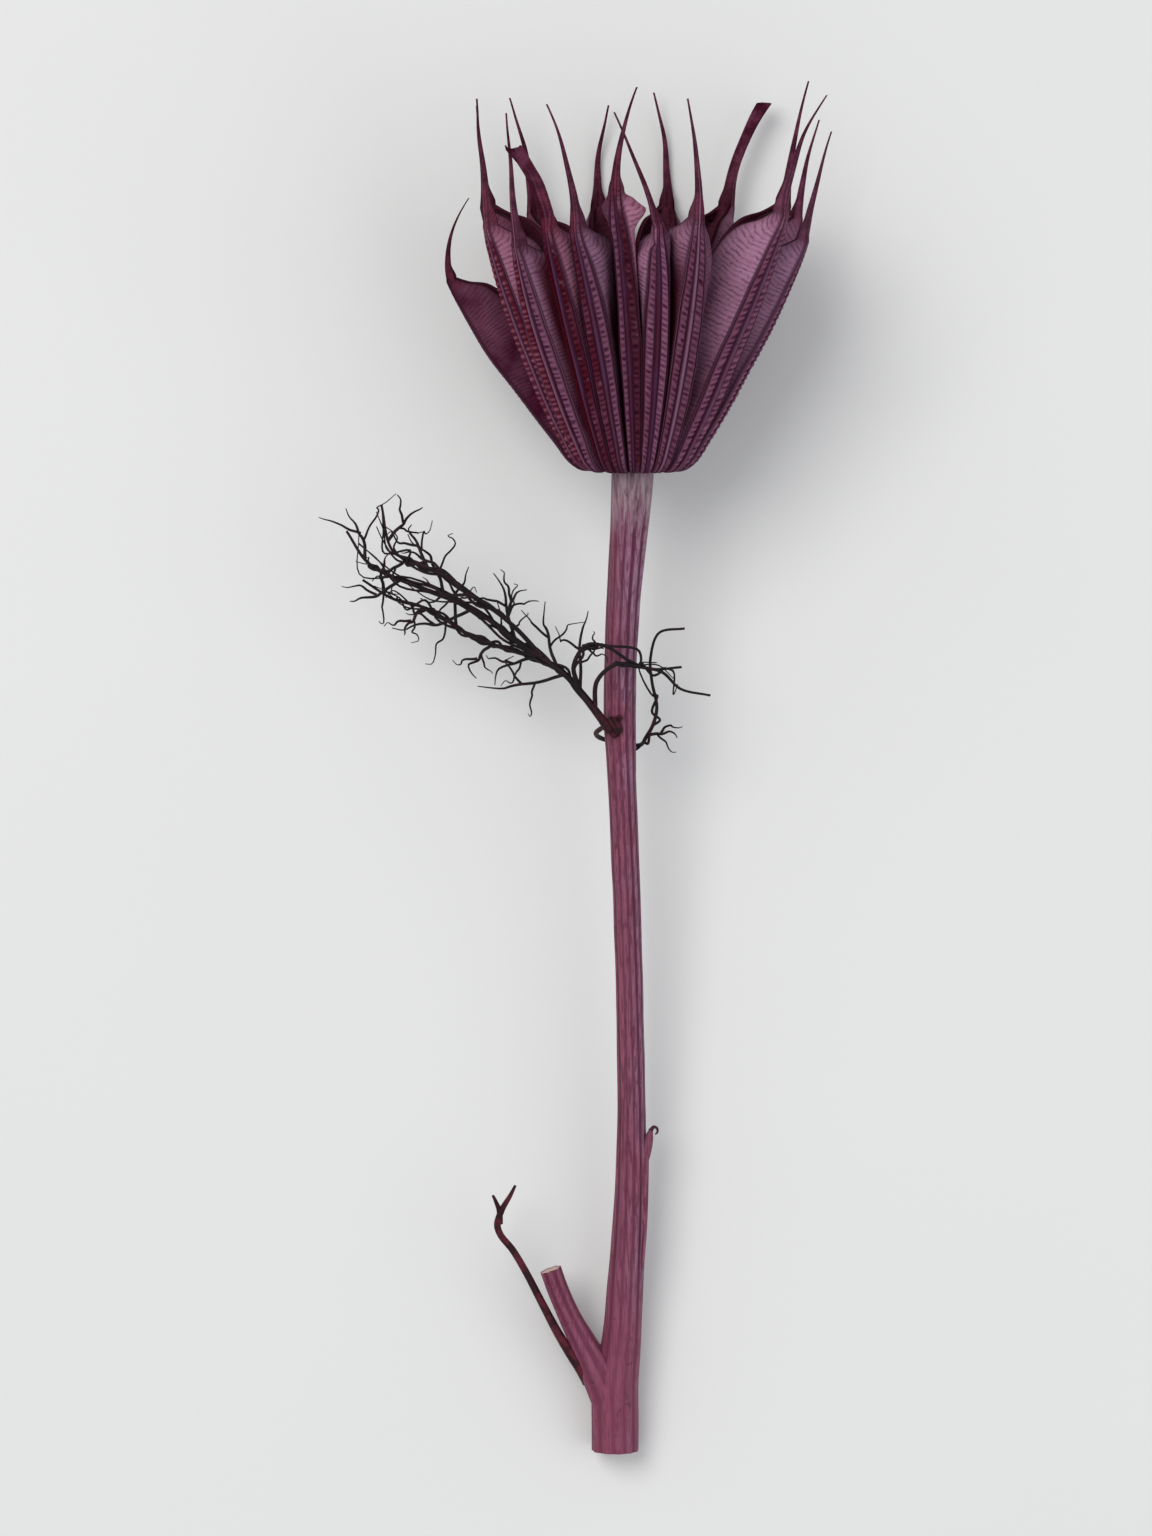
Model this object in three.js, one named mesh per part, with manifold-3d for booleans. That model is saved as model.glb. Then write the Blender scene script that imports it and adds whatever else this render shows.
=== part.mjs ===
// A dried nigella seed pod with its cut stem, lying on its side. Millimetres, +Z up.
//
// The pod is drawn in its own frame and laid down at the end: origin where the stem meets the
// pod, X to the right, Y along the stem towards the beaks, Z away from the surface below.
// It is a ring of flat follicles that stand on edge round the Y axis. Each one is drawn in its
// own upright plane: OUT is the distance from the axis, UP the height along it, ASIDE the
// distance from the plane.

import * as THREE from 'three';
import { mergeVertices } from 'three/addons/utils/BufferGeometryUtils.js';
import Module from 'manifold-3d';

const wasm = await Module();
wasm.setup();

const DEGREE = Math.PI / 180;

// How the pod lies: tilted about X so that two follicles and the cut end of the stem touch.
const TILT = 6.85 * DEGREE;
const POD_FOOT = new THREE.Vector3(5.38, 28.335, 13.24);

// One follicle seen from the side, from the stem to the foot of its beak. The keel is its
// back, the seam its inner edge. Half widths: of the back, of the flanks and of the open seam.
const FOLLICLE_ROWS = [
  { keel: [2.0, 0.4], seam: [1.2, 1.4], back: 0.3, flank: 0.4, gape: 0 },
  { keel: [4.3, -0.45], seam: [2.3, 1.7], back: 0.7, flank: 0.95, gape: 0 },
  { keel: [6.0, 0.5], seam: [2.9, 2.9], back: 0.95, flank: 1.25, gape: 0 },
  { keel: [7.5, 2.9], seam: [3.3, 5.0], back: 1.15, flank: 1.5, gape: 0 },
  { keel: [9.2, 6.0], seam: [1.6, 7.6], back: 1.36, flank: 1.8, gape: 0 },
  { keel: [11.1, 10.0], seam: [3.3, 11.2], back: 1.42, flank: 2.0, gape: 0.05 },
  { keel: [12.7, 13.4], seam: [6.4, 14.8], back: 1.34, flank: 2.2, gape: 0.5 },
  { keel: [14.1, 16.6], seam: [8.8, 18.0], back: 1.16, flank: 2.4, gape: 1.1 },
  { keel: [15.2, 19.3], seam: [10.5, 20.6], back: 0.96, flank: 2.3, gape: 1.4 },
  { keel: [15.9, 21.2], seam: [12.3, 22.4], back: 0.8, flank: 1.8, gape: 1.1 },
  { keel: [16.3, 22.4], seam: [14.3, 23.1], back: 0.7, flank: 1.2, gape: 0.6 },
  { keel: [16.6, 23.5], seam: [15.6, 23.8], back: 0.6, flank: 0.75, gape: 0.25 },
];

// Each follicle: its bearing round the pod at the foot and at the shoulder (0 faces away from
// the surface), its size, how far it spreads outwards, and its beak: the tip's place from the
// beak's foot (out, up, aside) and its girth.
const FOLLICLES = [
  { foot: -95, shoulder: -94, size: 0.85, spread: 10.5, beak: [-3.5, 8.5, -1.0], girth: 0.9 },
  { foot: -67, shoulder: -60, size: 0.96, spread: 0.0, beak: [1.4, 11.5, 0.0], girth: 0.9 },
  { foot: -50, shoulder: -44, size: 0.91, spread: 2.0, beak: [1.6, 13.5, 0.3], girth: 0.9 },
  { foot: -29, shoulder: -30, size: 0.97, spread: 0.5, beak: [2.0, 7.6, -2.6], girth: 1.3 },
  { foot: -12, shoulder: -20, size: 0.97, spread: 0.0, beak: [1.4, 11.5, -2.4], girth: 0.9 },
  { foot: 0, shoulder: -6, size: 1.08, spread: -1.5, beak: [0.8, 9.0, 2.0], girth: 0.85 },
  { foot: 13, shoulder: 7.5, size: 0.98, spread: 0.5, beak: [0.6, 10.6, -4.1], girth: 0.75 },
  { foot: 27, shoulder: 21, size: 1.0, spread: 0.0, beak: [1.0, 11.0, -1.4], girth: 0.8 },
  { foot: 48, shoulder: 57, size: 1.01, spread: 0.0, beak: [3.8, 10.8, 1.6], girth: 1.1 },
  { foot: 73, shoulder: 79, size: 0.93, spread: 3.0, beak: [2.2, 11.0, 0.0], girth: 1.0 },
  { foot: 98, shoulder: 101, size: 0.97, spread: 0.0, beak: [2.4, 9.5, 1.0], girth: 0.9 },
  { foot: 122, shoulder: 121, size: 1.02, spread: 0.5, beak: [1.8, 11.5, -1.2], girth: 1.0 },
  { foot: 145, shoulder: 146, size: 1.0, spread: 0.0, beak: [3.0, 9.8, -2.2], girth: 1.4 },
  { foot: 168, shoulder: 168, size: 1.0, spread: 0.0, beak: [-0.3, 10.8, 1.3], girth: 0.9 },
  { foot: 191, shoulder: 192, size: 1.0, spread: 0.0, beak: [-0.4, 9.6, -1.0], girth: 0.9 },
  { foot: 214, shoulder: 216, size: 0.98, spread: 0.5, beak: [1.6, 11.2, 1.6], girth: 1.0 },
  { foot: 237, shoulder: 238, size: 1.01, spread: 0.0, beak: [2.0, 10.0, -1.4], girth: 0.9 },
];

// The share of the room between each follicle and the next that its side takes up: low down, at
// the shoulder and at the very top.
const GAP_SHARES = [
  [0.5, 0.5, 0.5], [0.5, 0.6, 0.6], [0.76, 0.72, 0.65], [0.5, 0.6, 0.6], [0.58, 0.7, 0.45],
  [0.5, 0.42, 0.7], [0.5, 0.42, 0.42], [0.48, 0.36, 0.36], [0.45, 0.42, 0.42], [0.5, 0.5, 0.5],
  [0.55, 0.5, 0.5], [0.5, 0.45, 0.45], [0.6, 0.55, 0.55], [0.5, 0.5, 0.5], [0.5, 0.5, 0.5],
  [0.42, 0.45, 0.45], [0.5, 0.55, 0.55],
];
const SHOULDER_SHARE_RAMP = [0.45, 0.75];
const TOP_SHARE_RAMP = [0.78, 0.9];

// The middle of the ring, where the follicles have grown into one: its outline (out, up).
const CORE_OUTLINE = [
  [0, 0.9], [3.1, 0.9], [4.4, 2.2], [6.2, 5.4], [7.6, 9.0], [5.9, 12.2], [3.0, 9.9], [0, 8.4],
];
const CORE_SIDES = 18;

// Places along a follicle go from 0 at the stem to 1 at the foot of the beak.
const BODY_STATIONS = FOLLICLE_ROWS.length - 1;
const CAVITY_PLACES = [0.46, 0.55, 0.66, 0.77, 0.88, 0.955];
const FUSED_UP_TO = 0.46;
const FREE_FROM = 0.58;
const SPREAD_BY = 0.6;
const SIZED_BY = 0.8;

// The relief of the back: smooth midrib, ladder band with its rungs, lateral rib.
const BAND_SHARE = 0.52;
const BAND_DROP = 0.42;
const RUNG_HEIGHT = 0.13;
const RIB_DROP = 0.3;
const FULL_RELIEF_DEPTH = 4;

// Thickness of the walls, how far neighbours sink into each other or stand apart, and the
// least half width of a follicle and of its cavity.
const WALL = 0.6;
const FUSED_OVERLAP = 0.08;
const FREE_GAP = 0.12;
const LEAST_ASIDE = 0.12;
const LEAST_CAVITY = 0.08;

// The cavity in depth: it runs out past the seam and stops short of the back.
const CAVITY_MOUTH = 1.35;
const CAVITY_WAIST = 0.55;
const CAVITY_END_DEPTH = 1.3;
const CAVITY_END_ASIDE = 0.2;

const BEAK_STATIONS = 3;
const BEAK_FOOT_RADIUS = 0.62;
const BEAK_TIP_RADIUS = 0.26;
const BEAK_BOW = 0.12;

// The flank from the lateral rib (0) to the seam (1), as a share of the way from the width of
// the back to the width of the flank, and then from there to the width of the rim.
const FLANK_STEPS = [
  { depth: 0.26, towards: 'flank', share: 0.8 },
  { depth: 0.52, towards: 'flank', share: 1.0 },
  { depth: 0.8, towards: 'rim', share: 0.5 },
  { depth: 1.0, towards: 'rim', share: 1.0 },
];

// The stem's middle line and width, from inside the pod to the cut end.
const STEM_ROWS = [
  { up: 1.1, aside: 0.0, width: 3.4 },
  { up: 0.0, aside: -0.05, width: 4.1 },
  { up: -2.0, aside: -0.1, width: 3.95 },
  { up: -6.2, aside: -0.4, width: 3.6 },
  { up: -12.4, aside: -0.9, width: 3.25 },
  { up: -18.7, aside: -1.2, width: 3.1 },
  { up: -24.6, aside: -1.25, width: 3.1 },
  { up: -27.0, aside: -1.15, width: 2.85 },
  { up: -31.3, aside: -0.97, width: 2.7 },
  { up: -40.7, aside: -0.6, width: 2.65 },
  { up: -48.8, aside: -0.35, width: 2.6 },
  { up: -60.6, aside: -0.15, width: 2.7 },
  { up: -67.4, aside: -0.2, width: 3.0 },
  { up: -71.9, aside: -0.37, width: 3.2 },
  { up: -76.3, aside: -0.65, width: 3.4 },
  { up: -80.8, aside: -0.9, width: 3.6 },
  { up: -84.0, aside: -1.2, width: 3.9 },
  { up: -87.6, aside: -1.7, width: 4.5 },
  { up: -93.5, aside: -1.65, width: 4.5 },
];
const STEM_RIBS = 11;
const STEM_RIB_HEIGHT = 0.11;
const STEM_STATIONS = 26;
const STEM_TWIST = 40 * DEGREE;
const LEAF_CLEARANCE = 0.3;

// The round hollow under the pod that the top of the stem stands in.
const SOCKET_CLEARANCE = 0.3;
const SOCKET_DEPTH = 1.4;
const SOCKET_LENGTH = 10;
const SOCKET_SIDES = 20;

// The cut stub of the side branch, and the nub that a fallen leaf left, with their radii.
const STUB = {
  line: [
    [-1.9, -89.0, 0.1], [-3.3, -86.0, 0.3], [-4.6, -83.4, 0.5],
    [-6.0, -80.6, 0.7], [-7.1, -78.0, 1.0], [-7.8, -76.0, 1.1],
  ],
  radii: [2.0, 1.75, 1.35, 1.1, 1.05, 1.05],
  sides: 10,
  stations: 6,
};
const NUB = {
  line: [[0.7, -67.0, 0.1], [1.2, -65.0, 0.2], [1.5, -63.6, 0.3], [1.7, -62.7, 0.4]],
  radii: [0.4, 0.5, 0.45, 0.25],
  sides: 6,
  stations: 4,
};

// The upper leaf. Its strands leave the node on the left side of the stem. Some cross in front
// of the stem, and one goes round behind it and up its right side.
const UPPER_STRANDS = [
  {
    line: [
      [-2.5, -25.2, 2.3], [-3.2, -23.6, 2.2], [-4.9, -21.2, 2.0], [-6.3, -19.6, 1.8],
      [-8.1, -18.3, 1.6], [-10.6, -16.6, 1.5], [-15.0, -13.4, 1.3], [-20.0, -11.4, 0.8],
      [-24.7, -9.3, 0.2], [-26.9, -6.2, -0.3],
    ],
    radii: [0.85, 0.6, 0.5, 0.42, 0.4],
    twigs: 9,
    reach: 7.5,
  },
  {
    line: [
      [-6.4, -19.4, 1.6], [-9.6, -17.9, 0.9], [-12.4, -17.1, 0.2], [-15.4, -16.0, -0.4],
      [-19.2, -13.6, -0.8], [-22.6, -12.6, -0.8], [-25.4, -10.8, -0.4],
    ],
    radii: [0.42, 0.4],
    twigs: 5,
    reach: 5.5,
  },
  {
    line: [
      [-8.6, -17.8, 1.8], [-11.3, -14.8, 2.8], [-15.4, -11.7, 3.2], [-19.6, -9.2, 2.6],
      [-22.5, -7.9, 2.0], [-23.6, -3.6, 1.2],
    ],
    radii: [0.42, 0.4],
    twigs: 5,
    reach: 5.5,
  },
  {
    line: [
      [-4.9, -21.2, 2.0], [-5.6, -18.6, 3.2], [-4.4, -16.6, 3.7], [-2.6, -16.7, 3.7],
      [-0.2, -18.2, 3.3], [1.8, -18.9, 2.8], [4.5, -18.8, 2.0],
    ],
    radii: [0.42, 0.4],
    twigs: 1,
    reach: 3,
  },
  {
    line: [
      [-3.6, -22.8, 2.2], [-3.4, -20.0, 3.0], [-1.6, -18.4, 3.5], [0.8, -18.7, 3.3], [2.7, -19.2, 3.0],
      [4.4, -20.8, 2.4], [7.2, -21.5, 1.6],
    ],
    radii: [0.42, 0.4],
    twigs: 0,
    reach: 0,
  },
  {
    line: [
      [-2.8, -24.4, 2.0], [-3.5, -25.2, 0.2], [-2.9, -25.9, -1.7], [-1.1, -26.4, -2.4],
      [0.6, -26.5, -1.6], [1.2, -25.6, 0.0], [1.9, -24.2, 0.8], [2.2, -22.6, 1.0],
      [1.75, -20.3, 1.2], [1.6, -18.0, 1.6], [2.4, -15.6, 1.8], [4.8, -15.2, 1.6],
    ],
    radii: [0.45, 0.4],
    twigs: 1,
    reach: 4,
  },
];

// The dark leaf in the fork: it lies along the stub, then folds up and parts in two.
const FORK_STRANDS = [
  {
    line: [
      [-4.9, -85.6, 0.9], [-6.0, -83.9, 1.0], [-7.3, -81.7, 1.0], [-8.6, -79.2, 1.0],
      [-10.2, -76.1, 1.0], [-11.4, -74.1, 1.0], [-12.5, -72.7, 1.1], [-12.8, -71.7, 1.3],
      [-12.4, -70.3, 1.5], [-11.6, -68.9, 1.6], [-11.1, -67.9, 1.6],
    ],
    radii: [0.55, 0.6, 0.5, 0.45, 0.4],
    twigs: 0,
    reach: 0,
  },
  {
    line: [[-12.6, -71.6, 1.3], [-12.6, -70.4, 1.5], [-12.9, -69.5, 1.8], [-13.2, -68.8, 2.1]],
    radii: [0.42, 0.38],
    twigs: 0,
    reach: 0,
  },
];

// Threads: a strand bears twigs by turns left and right, and each twig forks once.
const THREAD_SIDES = 3;
const STRAND_SIDES = 4;
const STRAND_STATIONS_PER_POINT = 1.4;
const THREAD_RADII = [0.4, 0.4];
const THREAD_POINTS = 3;
const TWIG_PLACES = [0.22, 0.96];
const TWIG_HEADING = [0.6, 1.1];
const TWIG_CURL = [-0.35, 0.3];
const TWIG_LIFT = [-0.225, 0.275];
const TWIG_REACH = [0.6, 1.1];
const TIP_PLACE = 0.5;
const TIP_REACH = 0.55;

// The block that stands for all that is below the surface.
const BELOW_WIDTH = 300;
const BELOW_DEPTH = 40;

const COLOURS = {
  seed_head: { color: '#6b3449', roughness: 0.55 },
  stem: { color: '#8a5266', roughness: 0.5 },
  upper_leaf: { color: '#1d1015', roughness: 0.6 },
  fork_leaf: { color: '#3a1420', roughness: 0.6 },
};

// A smooth curve through evenly spaced values, read at a place from 0 to 1.
function smoothly(values, place) {
  const last = values.length - 1;
  const scaled = Math.min(Math.max(place, 0), 1) * last;
  const i = Math.min(Math.floor(scaled), last - 1);
  const f = scaled - i;
  const a = values[Math.max(i - 1, 0)];
  const b = values[i];
  const c = values[i + 1];
  const d = values[Math.min(i + 2, last)];
  const bend = (-a + c) * f + (2 * a - 5 * b + 4 * c - d) * f * f + (-a + 3 * b - 3 * c + d) * f ** 3;
  return b + 0.5 * bend;
}

const mix = (a, b, share) => a + (b - a) * share;

function ramp(value, from, to) {
  const t = Math.min(Math.max((value - from) / (to - from), 0), 1);
  return t * t * (3 - 2 * t);
}

function rowAt(place) {
  const read = (pick) => smoothly(FOLLICLE_ROWS.map(pick), place);
  return {
    keel: [read((row) => row.keel[0]), read((row) => row.keel[1])],
    seam: [read((row) => row.seam[0]), read((row) => row.seam[1])],
    back: read((row) => row.back),
    flank: read((row) => row.flank),
    gape: Math.max(read((row) => row.gape), 0),
  };
}

// The follicle's bearing at a place along it, in degrees.
const bearingAt = (follicle, place) => mix(follicle.foot, follicle.shoulder, ramp(place, 0, 1));

// The share of a gap that the side of the follicle before it takes up, at a place.
function gapShareAt(gap, place) {
  const [low, shoulder, top] = GAP_SHARES[gap];
  return mix(mix(low, shoulder, ramp(place, ...SHOULDER_SHARE_RAMP)), top, ramp(place, ...TOP_SHARE_RAMP));
}

// The room to the neighbour on each side, as a slope: aside per out.
function slopesAt(index, place) {
  const count = FOLLICLES.length;
  const before = (index + count - 1) % count;
  const own = bearingAt(FOLLICLES[index], place);
  const turn = (other) => (((bearingAt(other, place) - own) % 360) + 540) % 360 - 180;
  const right = turn(FOLLICLES[(index + 1) % count]) * gapShareAt(index, place);
  const left = -turn(FOLLICLES[before]) * (1 - gapShareAt(before, place));
  return { right: Math.tan(right * DEGREE), left: Math.tan(left * DEGREE) };
}

// Flanks press together and join in the lower half, and stand apart above.
function limited(aside, out, slope, place) {
  const free = ramp(place, FUSED_UP_TO, FREE_FROM);
  const limit = Math.max(out, 0) * slope + mix(FUSED_OVERLAP, -FREE_GAP, free);
  return Math.min(aside, Math.max(limit, LEAST_ASIDE));
}

// Half a section, from beside the midrib to the rim: depth below the keel and distance aside.
function halfSection(row, slope, place, rung) {
  const deep = Math.hypot(row.keel[0] - row.seam[0], row.keel[1] - row.seam[1]);
  const relief = Math.min(deep / FULL_RELIEF_DEPTH, 1);
  const rim = row.gape + WALL;
  const points = [
    { depth: (BAND_DROP + rung * RUNG_HEIGHT) * relief, aside: BAND_SHARE * row.back },
    { depth: RIB_DROP * relief, aside: row.back },
  ];
  for (const step of FLANK_STEPS) {
    const depth = mix(RIB_DROP * relief, deep, step.depth);
    const aside = step.towards === 'flank'
      ? mix(row.back, row.flank, step.share)
      : mix(row.flank, rim, step.share);
    points.push({ depth, aside });
  }
  return points.map((point) => {
    const out = mix(row.keel[0], row.seam[0], point.depth / deep);
    return { depth: point.depth / deep, aside: limited(point.aside, out, slope, place) };
  });
}

// A point of a follicle's own plane, spread, sized and turned into the pod's frame.
function podPoint(follicle, place, out, up, aside) {
  const spread = follicle.spread * DEGREE * ramp(place, 0, SPREAD_BY);
  const wide = out * Math.cos(spread) + up * Math.sin(spread);
  const high = up * Math.cos(spread) - out * Math.sin(spread);
  const size = mix(1, follicle.size, ramp(place, 0, SIZED_BY));
  const bearing = bearingAt(follicle, place) * DEGREE;
  const x = size * wide * Math.sin(bearing) + aside * Math.cos(bearing);
  const z = size * wide * Math.cos(bearing) - aside * Math.sin(bearing);
  return new THREE.Vector3(x, size * high, z);
}

// The ring of points round a follicle at a place: midrib, right side, then left side back.
function bodySection(index, place, rung) {
  const row = rowAt(place);
  const slopes = slopesAt(index, place);
  const at = (depth, aside) => {
    const out = mix(row.keel[0], row.seam[0], depth);
    const up = mix(row.keel[1], row.seam[1], depth);
    return podPoint(FOLLICLES[index], place, out, up, aside);
  };
  const right = halfSection(row, slopes.right, place, rung).map((p) => at(p.depth, p.aside));
  const left = halfSection(row, slopes.left, place, rung).map((p) => at(p.depth, -p.aside));
  return [at(0, 0), ...right, ...left.reverse()];
}

// The beak goes on from the body with the same number of points, as a thin round horn.
function beakSections(index, pointCount) {
  const follicle = FOLLICLES[index];
  const foot = rowAt(1);
  const start = [0.5 * (foot.keel[0] + foot.seam[0]), 0.5 * (foot.keel[1] + foot.seam[1])];
  const [tipOut, tipUp, tipAside] = follicle.beak;
  const sections = [];
  for (let i = 1; i <= BEAK_STATIONS; i += 1) {
    const t = i / BEAK_STATIONS;
    const out = start[0] + tipOut * t * t + BEAK_BOW * tipUp * t * (1 - t);
    const up = start[1] + tipUp * t;
    const aside = tipAside * t * t;
    const radius = follicle.girth * mix(BEAK_FOOT_RADIUS, BEAK_TIP_RADIUS / follicle.girth, t);
    const ring = [];
    for (let k = 0; k < pointCount; k += 1) {
      const angle = (2 * Math.PI * k) / pointCount;
      const across = aside + radius * Math.sin(angle);
      ring.push(podPoint(follicle, 1, out + radius * Math.cos(angle), up, across));
    }
    sections.push(ring);
  }
  return sections;
}

// The open inside of a follicle, from its seam towards its keel, in the free upper half.
function cavitySection(index, place) {
  const row = rowAt(place);
  const slopes = slopesAt(index, place);
  const deep = Math.hypot(row.keel[0] - row.seam[0], row.keel[1] - row.seam[1]);
  const corners = [[CAVITY_MOUTH, row.gape], [1, row.gape], [CAVITY_WAIST, row.flank - WALL]];
  const side = (slope) => corners.map(([depth, aside]) => {
    const out = mix(row.keel[0], row.seam[0], Math.min(depth, 1));
    const wall = limited(aside + WALL, out, slope, place) - WALL;
    return [depth, Math.max(wall, LEAST_CAVITY)];
  });
  const end = CAVITY_END_DEPTH / deep;
  const at = (depth, aside) => {
    const out = mix(row.keel[0], row.seam[0], depth);
    const up = mix(row.keel[1], row.seam[1], depth);
    return podPoint(FOLLICLES[index], place, out, up, aside);
  };
  const right = side(slopes.right).map(([depth, aside]) => at(depth, aside));
  const left = side(slopes.left).map(([depth, aside]) => at(depth, -aside));
  return [...right, at(end, CAVITY_END_ASIDE), at(end, -CAVITY_END_ASIDE), ...left.reverse()];
}

// A closed skin over a row of rings that all have the same number of points.
function loft(rings) {
  const size = rings[0].length;
  const points = rings.flat();
  const faces = [];
  for (let i = 0; i + 1 < rings.length; i += 1) {
    for (let k = 0; k < size; k += 1) {
      const a = i * size + k;
      const b = i * size + ((k + 1) % size);
      faces.push(a, b, a + size, b, b + size, a + size);
    }
  }
  for (const [ring, flip] of [[0, true], [rings.length - 1, false]]) {
    const centre = new THREE.Vector3();
    rings[ring].forEach((point) => centre.add(point));
    points.push(centre.divideScalar(size));
    for (let k = 0; k < size; k += 1) {
      const a = ring * size + k;
      const b = ring * size + ((k + 1) % size);
      faces.push(points.length - 1, ...(flip ? [b, a] : [a, b]));
    }
  }
  const geometry = new THREE.BufferGeometry().setFromPoints(points);
  geometry.setIndex(faces);
  return geometry;
}

// Turns a closed geometry into a solid, with its faces pointing out.
function solid(geometry) {
  const bare = geometry.index ? geometry.clone() : mergeVertices(geometry, 1e-5);
  bare.deleteAttribute('normal');
  bare.deleteAttribute('uv');
  const merged = mergeVertices(bare, 1e-5);
  const make = (triVerts) => new wasm.Manifold(new wasm.Mesh({
    numProp: 3,
    vertProperties: new Float32Array(merged.attributes.position.array),
    triVerts,
  }));
  const faces = new Uint32Array(merged.index.array);
  const first = make(faces);
  return first.volume() > 0 ? first : make(faces.reverse());
}

function joined(solids) {
  return solids.reduce((whole, next) => whole.add(next));
}

const curveThrough = (line) => new THREE.CatmullRomCurve3(line.map((p) => new THREE.Vector3(...p)));

// Puts a flat circle of points round a line, square to it, at each of its stations.
function tube({ line, radii, sides, stations }) {
  const curve = curveThrough(line);
  const frames = curve.computeFrenetFrames(stations, false);
  const rings = [];
  for (let i = 0; i <= stations; i += 1) {
    const t = i / stations;
    const centre = curve.getPoint(t);
    const radius = smoothly(radii, t);
    const ring = [];
    for (let k = 0; k < sides; k += 1) {
      const angle = (2 * Math.PI * k) / sides;
      const point = centre.clone();
      point.addScaledVector(frames.normals[i], radius * Math.cos(angle));
      point.addScaledVector(frames.binormals[i], radius * Math.sin(angle));
      ring.push(point);
    }
    rings.push(ring);
  }
  return loft(rings);
}

function stemAt(up) {
  const rows = STEM_ROWS;
  let i = rows.findIndex((row) => row.up <= up);
  i = i < 0 ? rows.length - 1 : Math.max(i, 1);
  const share = (up - rows[i - 1].up) / (rows[i].up - rows[i - 1].up);
  return {
    aside: mix(rows[i - 1].aside, rows[i].aside, share),
    width: mix(rows[i - 1].width, rows[i].width, share),
  };
}

// The stem: ribs and grooves by turns round it, turning slowly along it.
function stemGeometry(extra, ribHeight) {
  const top = STEM_ROWS[0].up;
  const bottom = STEM_ROWS[STEM_ROWS.length - 1].up;
  const rings = [];
  for (let i = 0; i <= STEM_STATIONS; i += 1) {
    const t = i / STEM_STATIONS;
    const up = mix(top, bottom, t);
    const { aside, width } = stemAt(up);
    const ring = [];
    for (let k = 0; k < 2 * STEM_RIBS; k += 1) {
      const angle = (Math.PI * k) / STEM_RIBS + STEM_TWIST * t;
      const radius = 0.5 * width + extra + (k % 2 ? -ribHeight : 0);
      ring.push(new THREE.Vector3(aside + radius * Math.sin(angle), up, radius * Math.cos(angle)));
    }
    rings.push(ring);
  }
  return loft(rings);
}

// Everything below the surface that the pod lies on, in the pod's frame.
function belowSurface() {
  const block = new THREE.BoxGeometry(BELOW_WIDTH, BELOW_WIDTH, BELOW_DEPTH);
  block.translate(0, 0, -0.5 * BELOW_DEPTH);
  return solid(block.applyMatrix4(lying.matrix.clone().invert()));
}

function follicleSolid(index) {
  const rings = [];
  for (let i = 0; i <= BODY_STATIONS; i += 1) {
    rings.push(bodySection(index, i / BODY_STATIONS, i % 2 ? 1 : -1));
  }
  rings.push(...beakSections(index, rings[0].length));
  return solid(loft(rings));
}

function cavitySolid(index) {
  return solid(loft(CAVITY_PLACES.map((place) => cavitySection(index, place))));
}

function seedHead() {
  const numbers = FOLLICLES.map((_, index) => index);
  const follicles = joined(numbers.map(follicleSolid));
  const outline = CORE_OUTLINE.map(([out, up]) => new THREE.Vector2(out, up));
  const core = new THREE.LatheGeometry(outline, CORE_SIDES);
  const cavities = joined(numbers.map(cavitySolid));
  const socketRadius = 0.5 * STEM_ROWS[1].width + SOCKET_CLEARANCE;
  const socket = new THREE.CylinderGeometry(socketRadius, socketRadius, SOCKET_LENGTH, SOCKET_SIDES);
  socket.translate(STEM_ROWS[1].aside, SOCKET_DEPTH - 0.5 * SOCKET_LENGTH, 0);
  return follicles.add(solid(core)).subtract(cavities).subtract(solid(socket)).subtract(below);
}

function stem() {
  const main = solid(stemGeometry(0, STEM_RIB_HEIGHT));
  return joined([main, solid(tube(STUB)), solid(tube(NUB))]).subtract(below);
}

// A repeatable random number from 0 to 1 for each whole number.
function random(seed) {
  const value = Math.sin(seed * 12.9898) * 43758.5453;
  return value - Math.floor(value);
}

const between = ([low, high], seed) => mix(low, high, random(seed));

// A twig leaves its strand aslant, to one side and then the other, and curls as it goes.
function twigLine(curve, place, side, reach, seed) {
  const along = curve.getTangent(place);
  const across = new THREE.Vector3(-along.y, along.x, 0).multiplyScalar(side);
  const lift = new THREE.Vector3(0, 0, between(TWIG_LIFT, seed));
  let heading = between(TWIG_HEADING, seed + 0.1);
  const curl = between(TWIG_CURL, seed + 0.2);
  const step = (reach * between(TWIG_REACH, seed + 0.3)) / THREAD_POINTS;
  const point = curve.getPoint(place);
  const line = [point.toArray()];
  for (let i = 0; i < THREAD_POINTS; i += 1) {
    point.addScaledVector(along, step * Math.cos(heading));
    point.addScaledVector(across, step * Math.sin(heading));
    point.addScaledVector(lift, step);
    heading += curl;
    line.push(point.toArray());
  }
  return line;
}

const thread = (line, stations) => tube({ line, radii: THREAD_RADII, sides: THREAD_SIDES, stations });

// Every thread of a strand: the strand itself, its twigs and the tip that each twig forks into.
function strandThreads(strand, seed) {
  const stations = Math.round(STRAND_STATIONS_PER_POINT * strand.line.length);
  const list = [tube({ ...strand, sides: STRAND_SIDES, stations })];
  const curve = curveThrough(strand.line);
  const [first, last] = TWIG_PLACES;
  for (let i = 0; i < strand.twigs; i += 1) {
    const place = mix(first, last, (i + 0.5 * random(seed + i)) / strand.twigs);
    const side = i % 2 ? 1 : -1;
    const twig = twigLine(curve, place, side, strand.reach, seed + 10 + i);
    const reach = TIP_REACH * strand.reach;
    const tip = twigLine(curveThrough(twig), TIP_PLACE, -side, reach, seed + 50 + i);
    list.push(thread(twig, THREAD_POINTS), thread(tip, THREAD_POINTS - 1));
  }
  return list;
}

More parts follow.
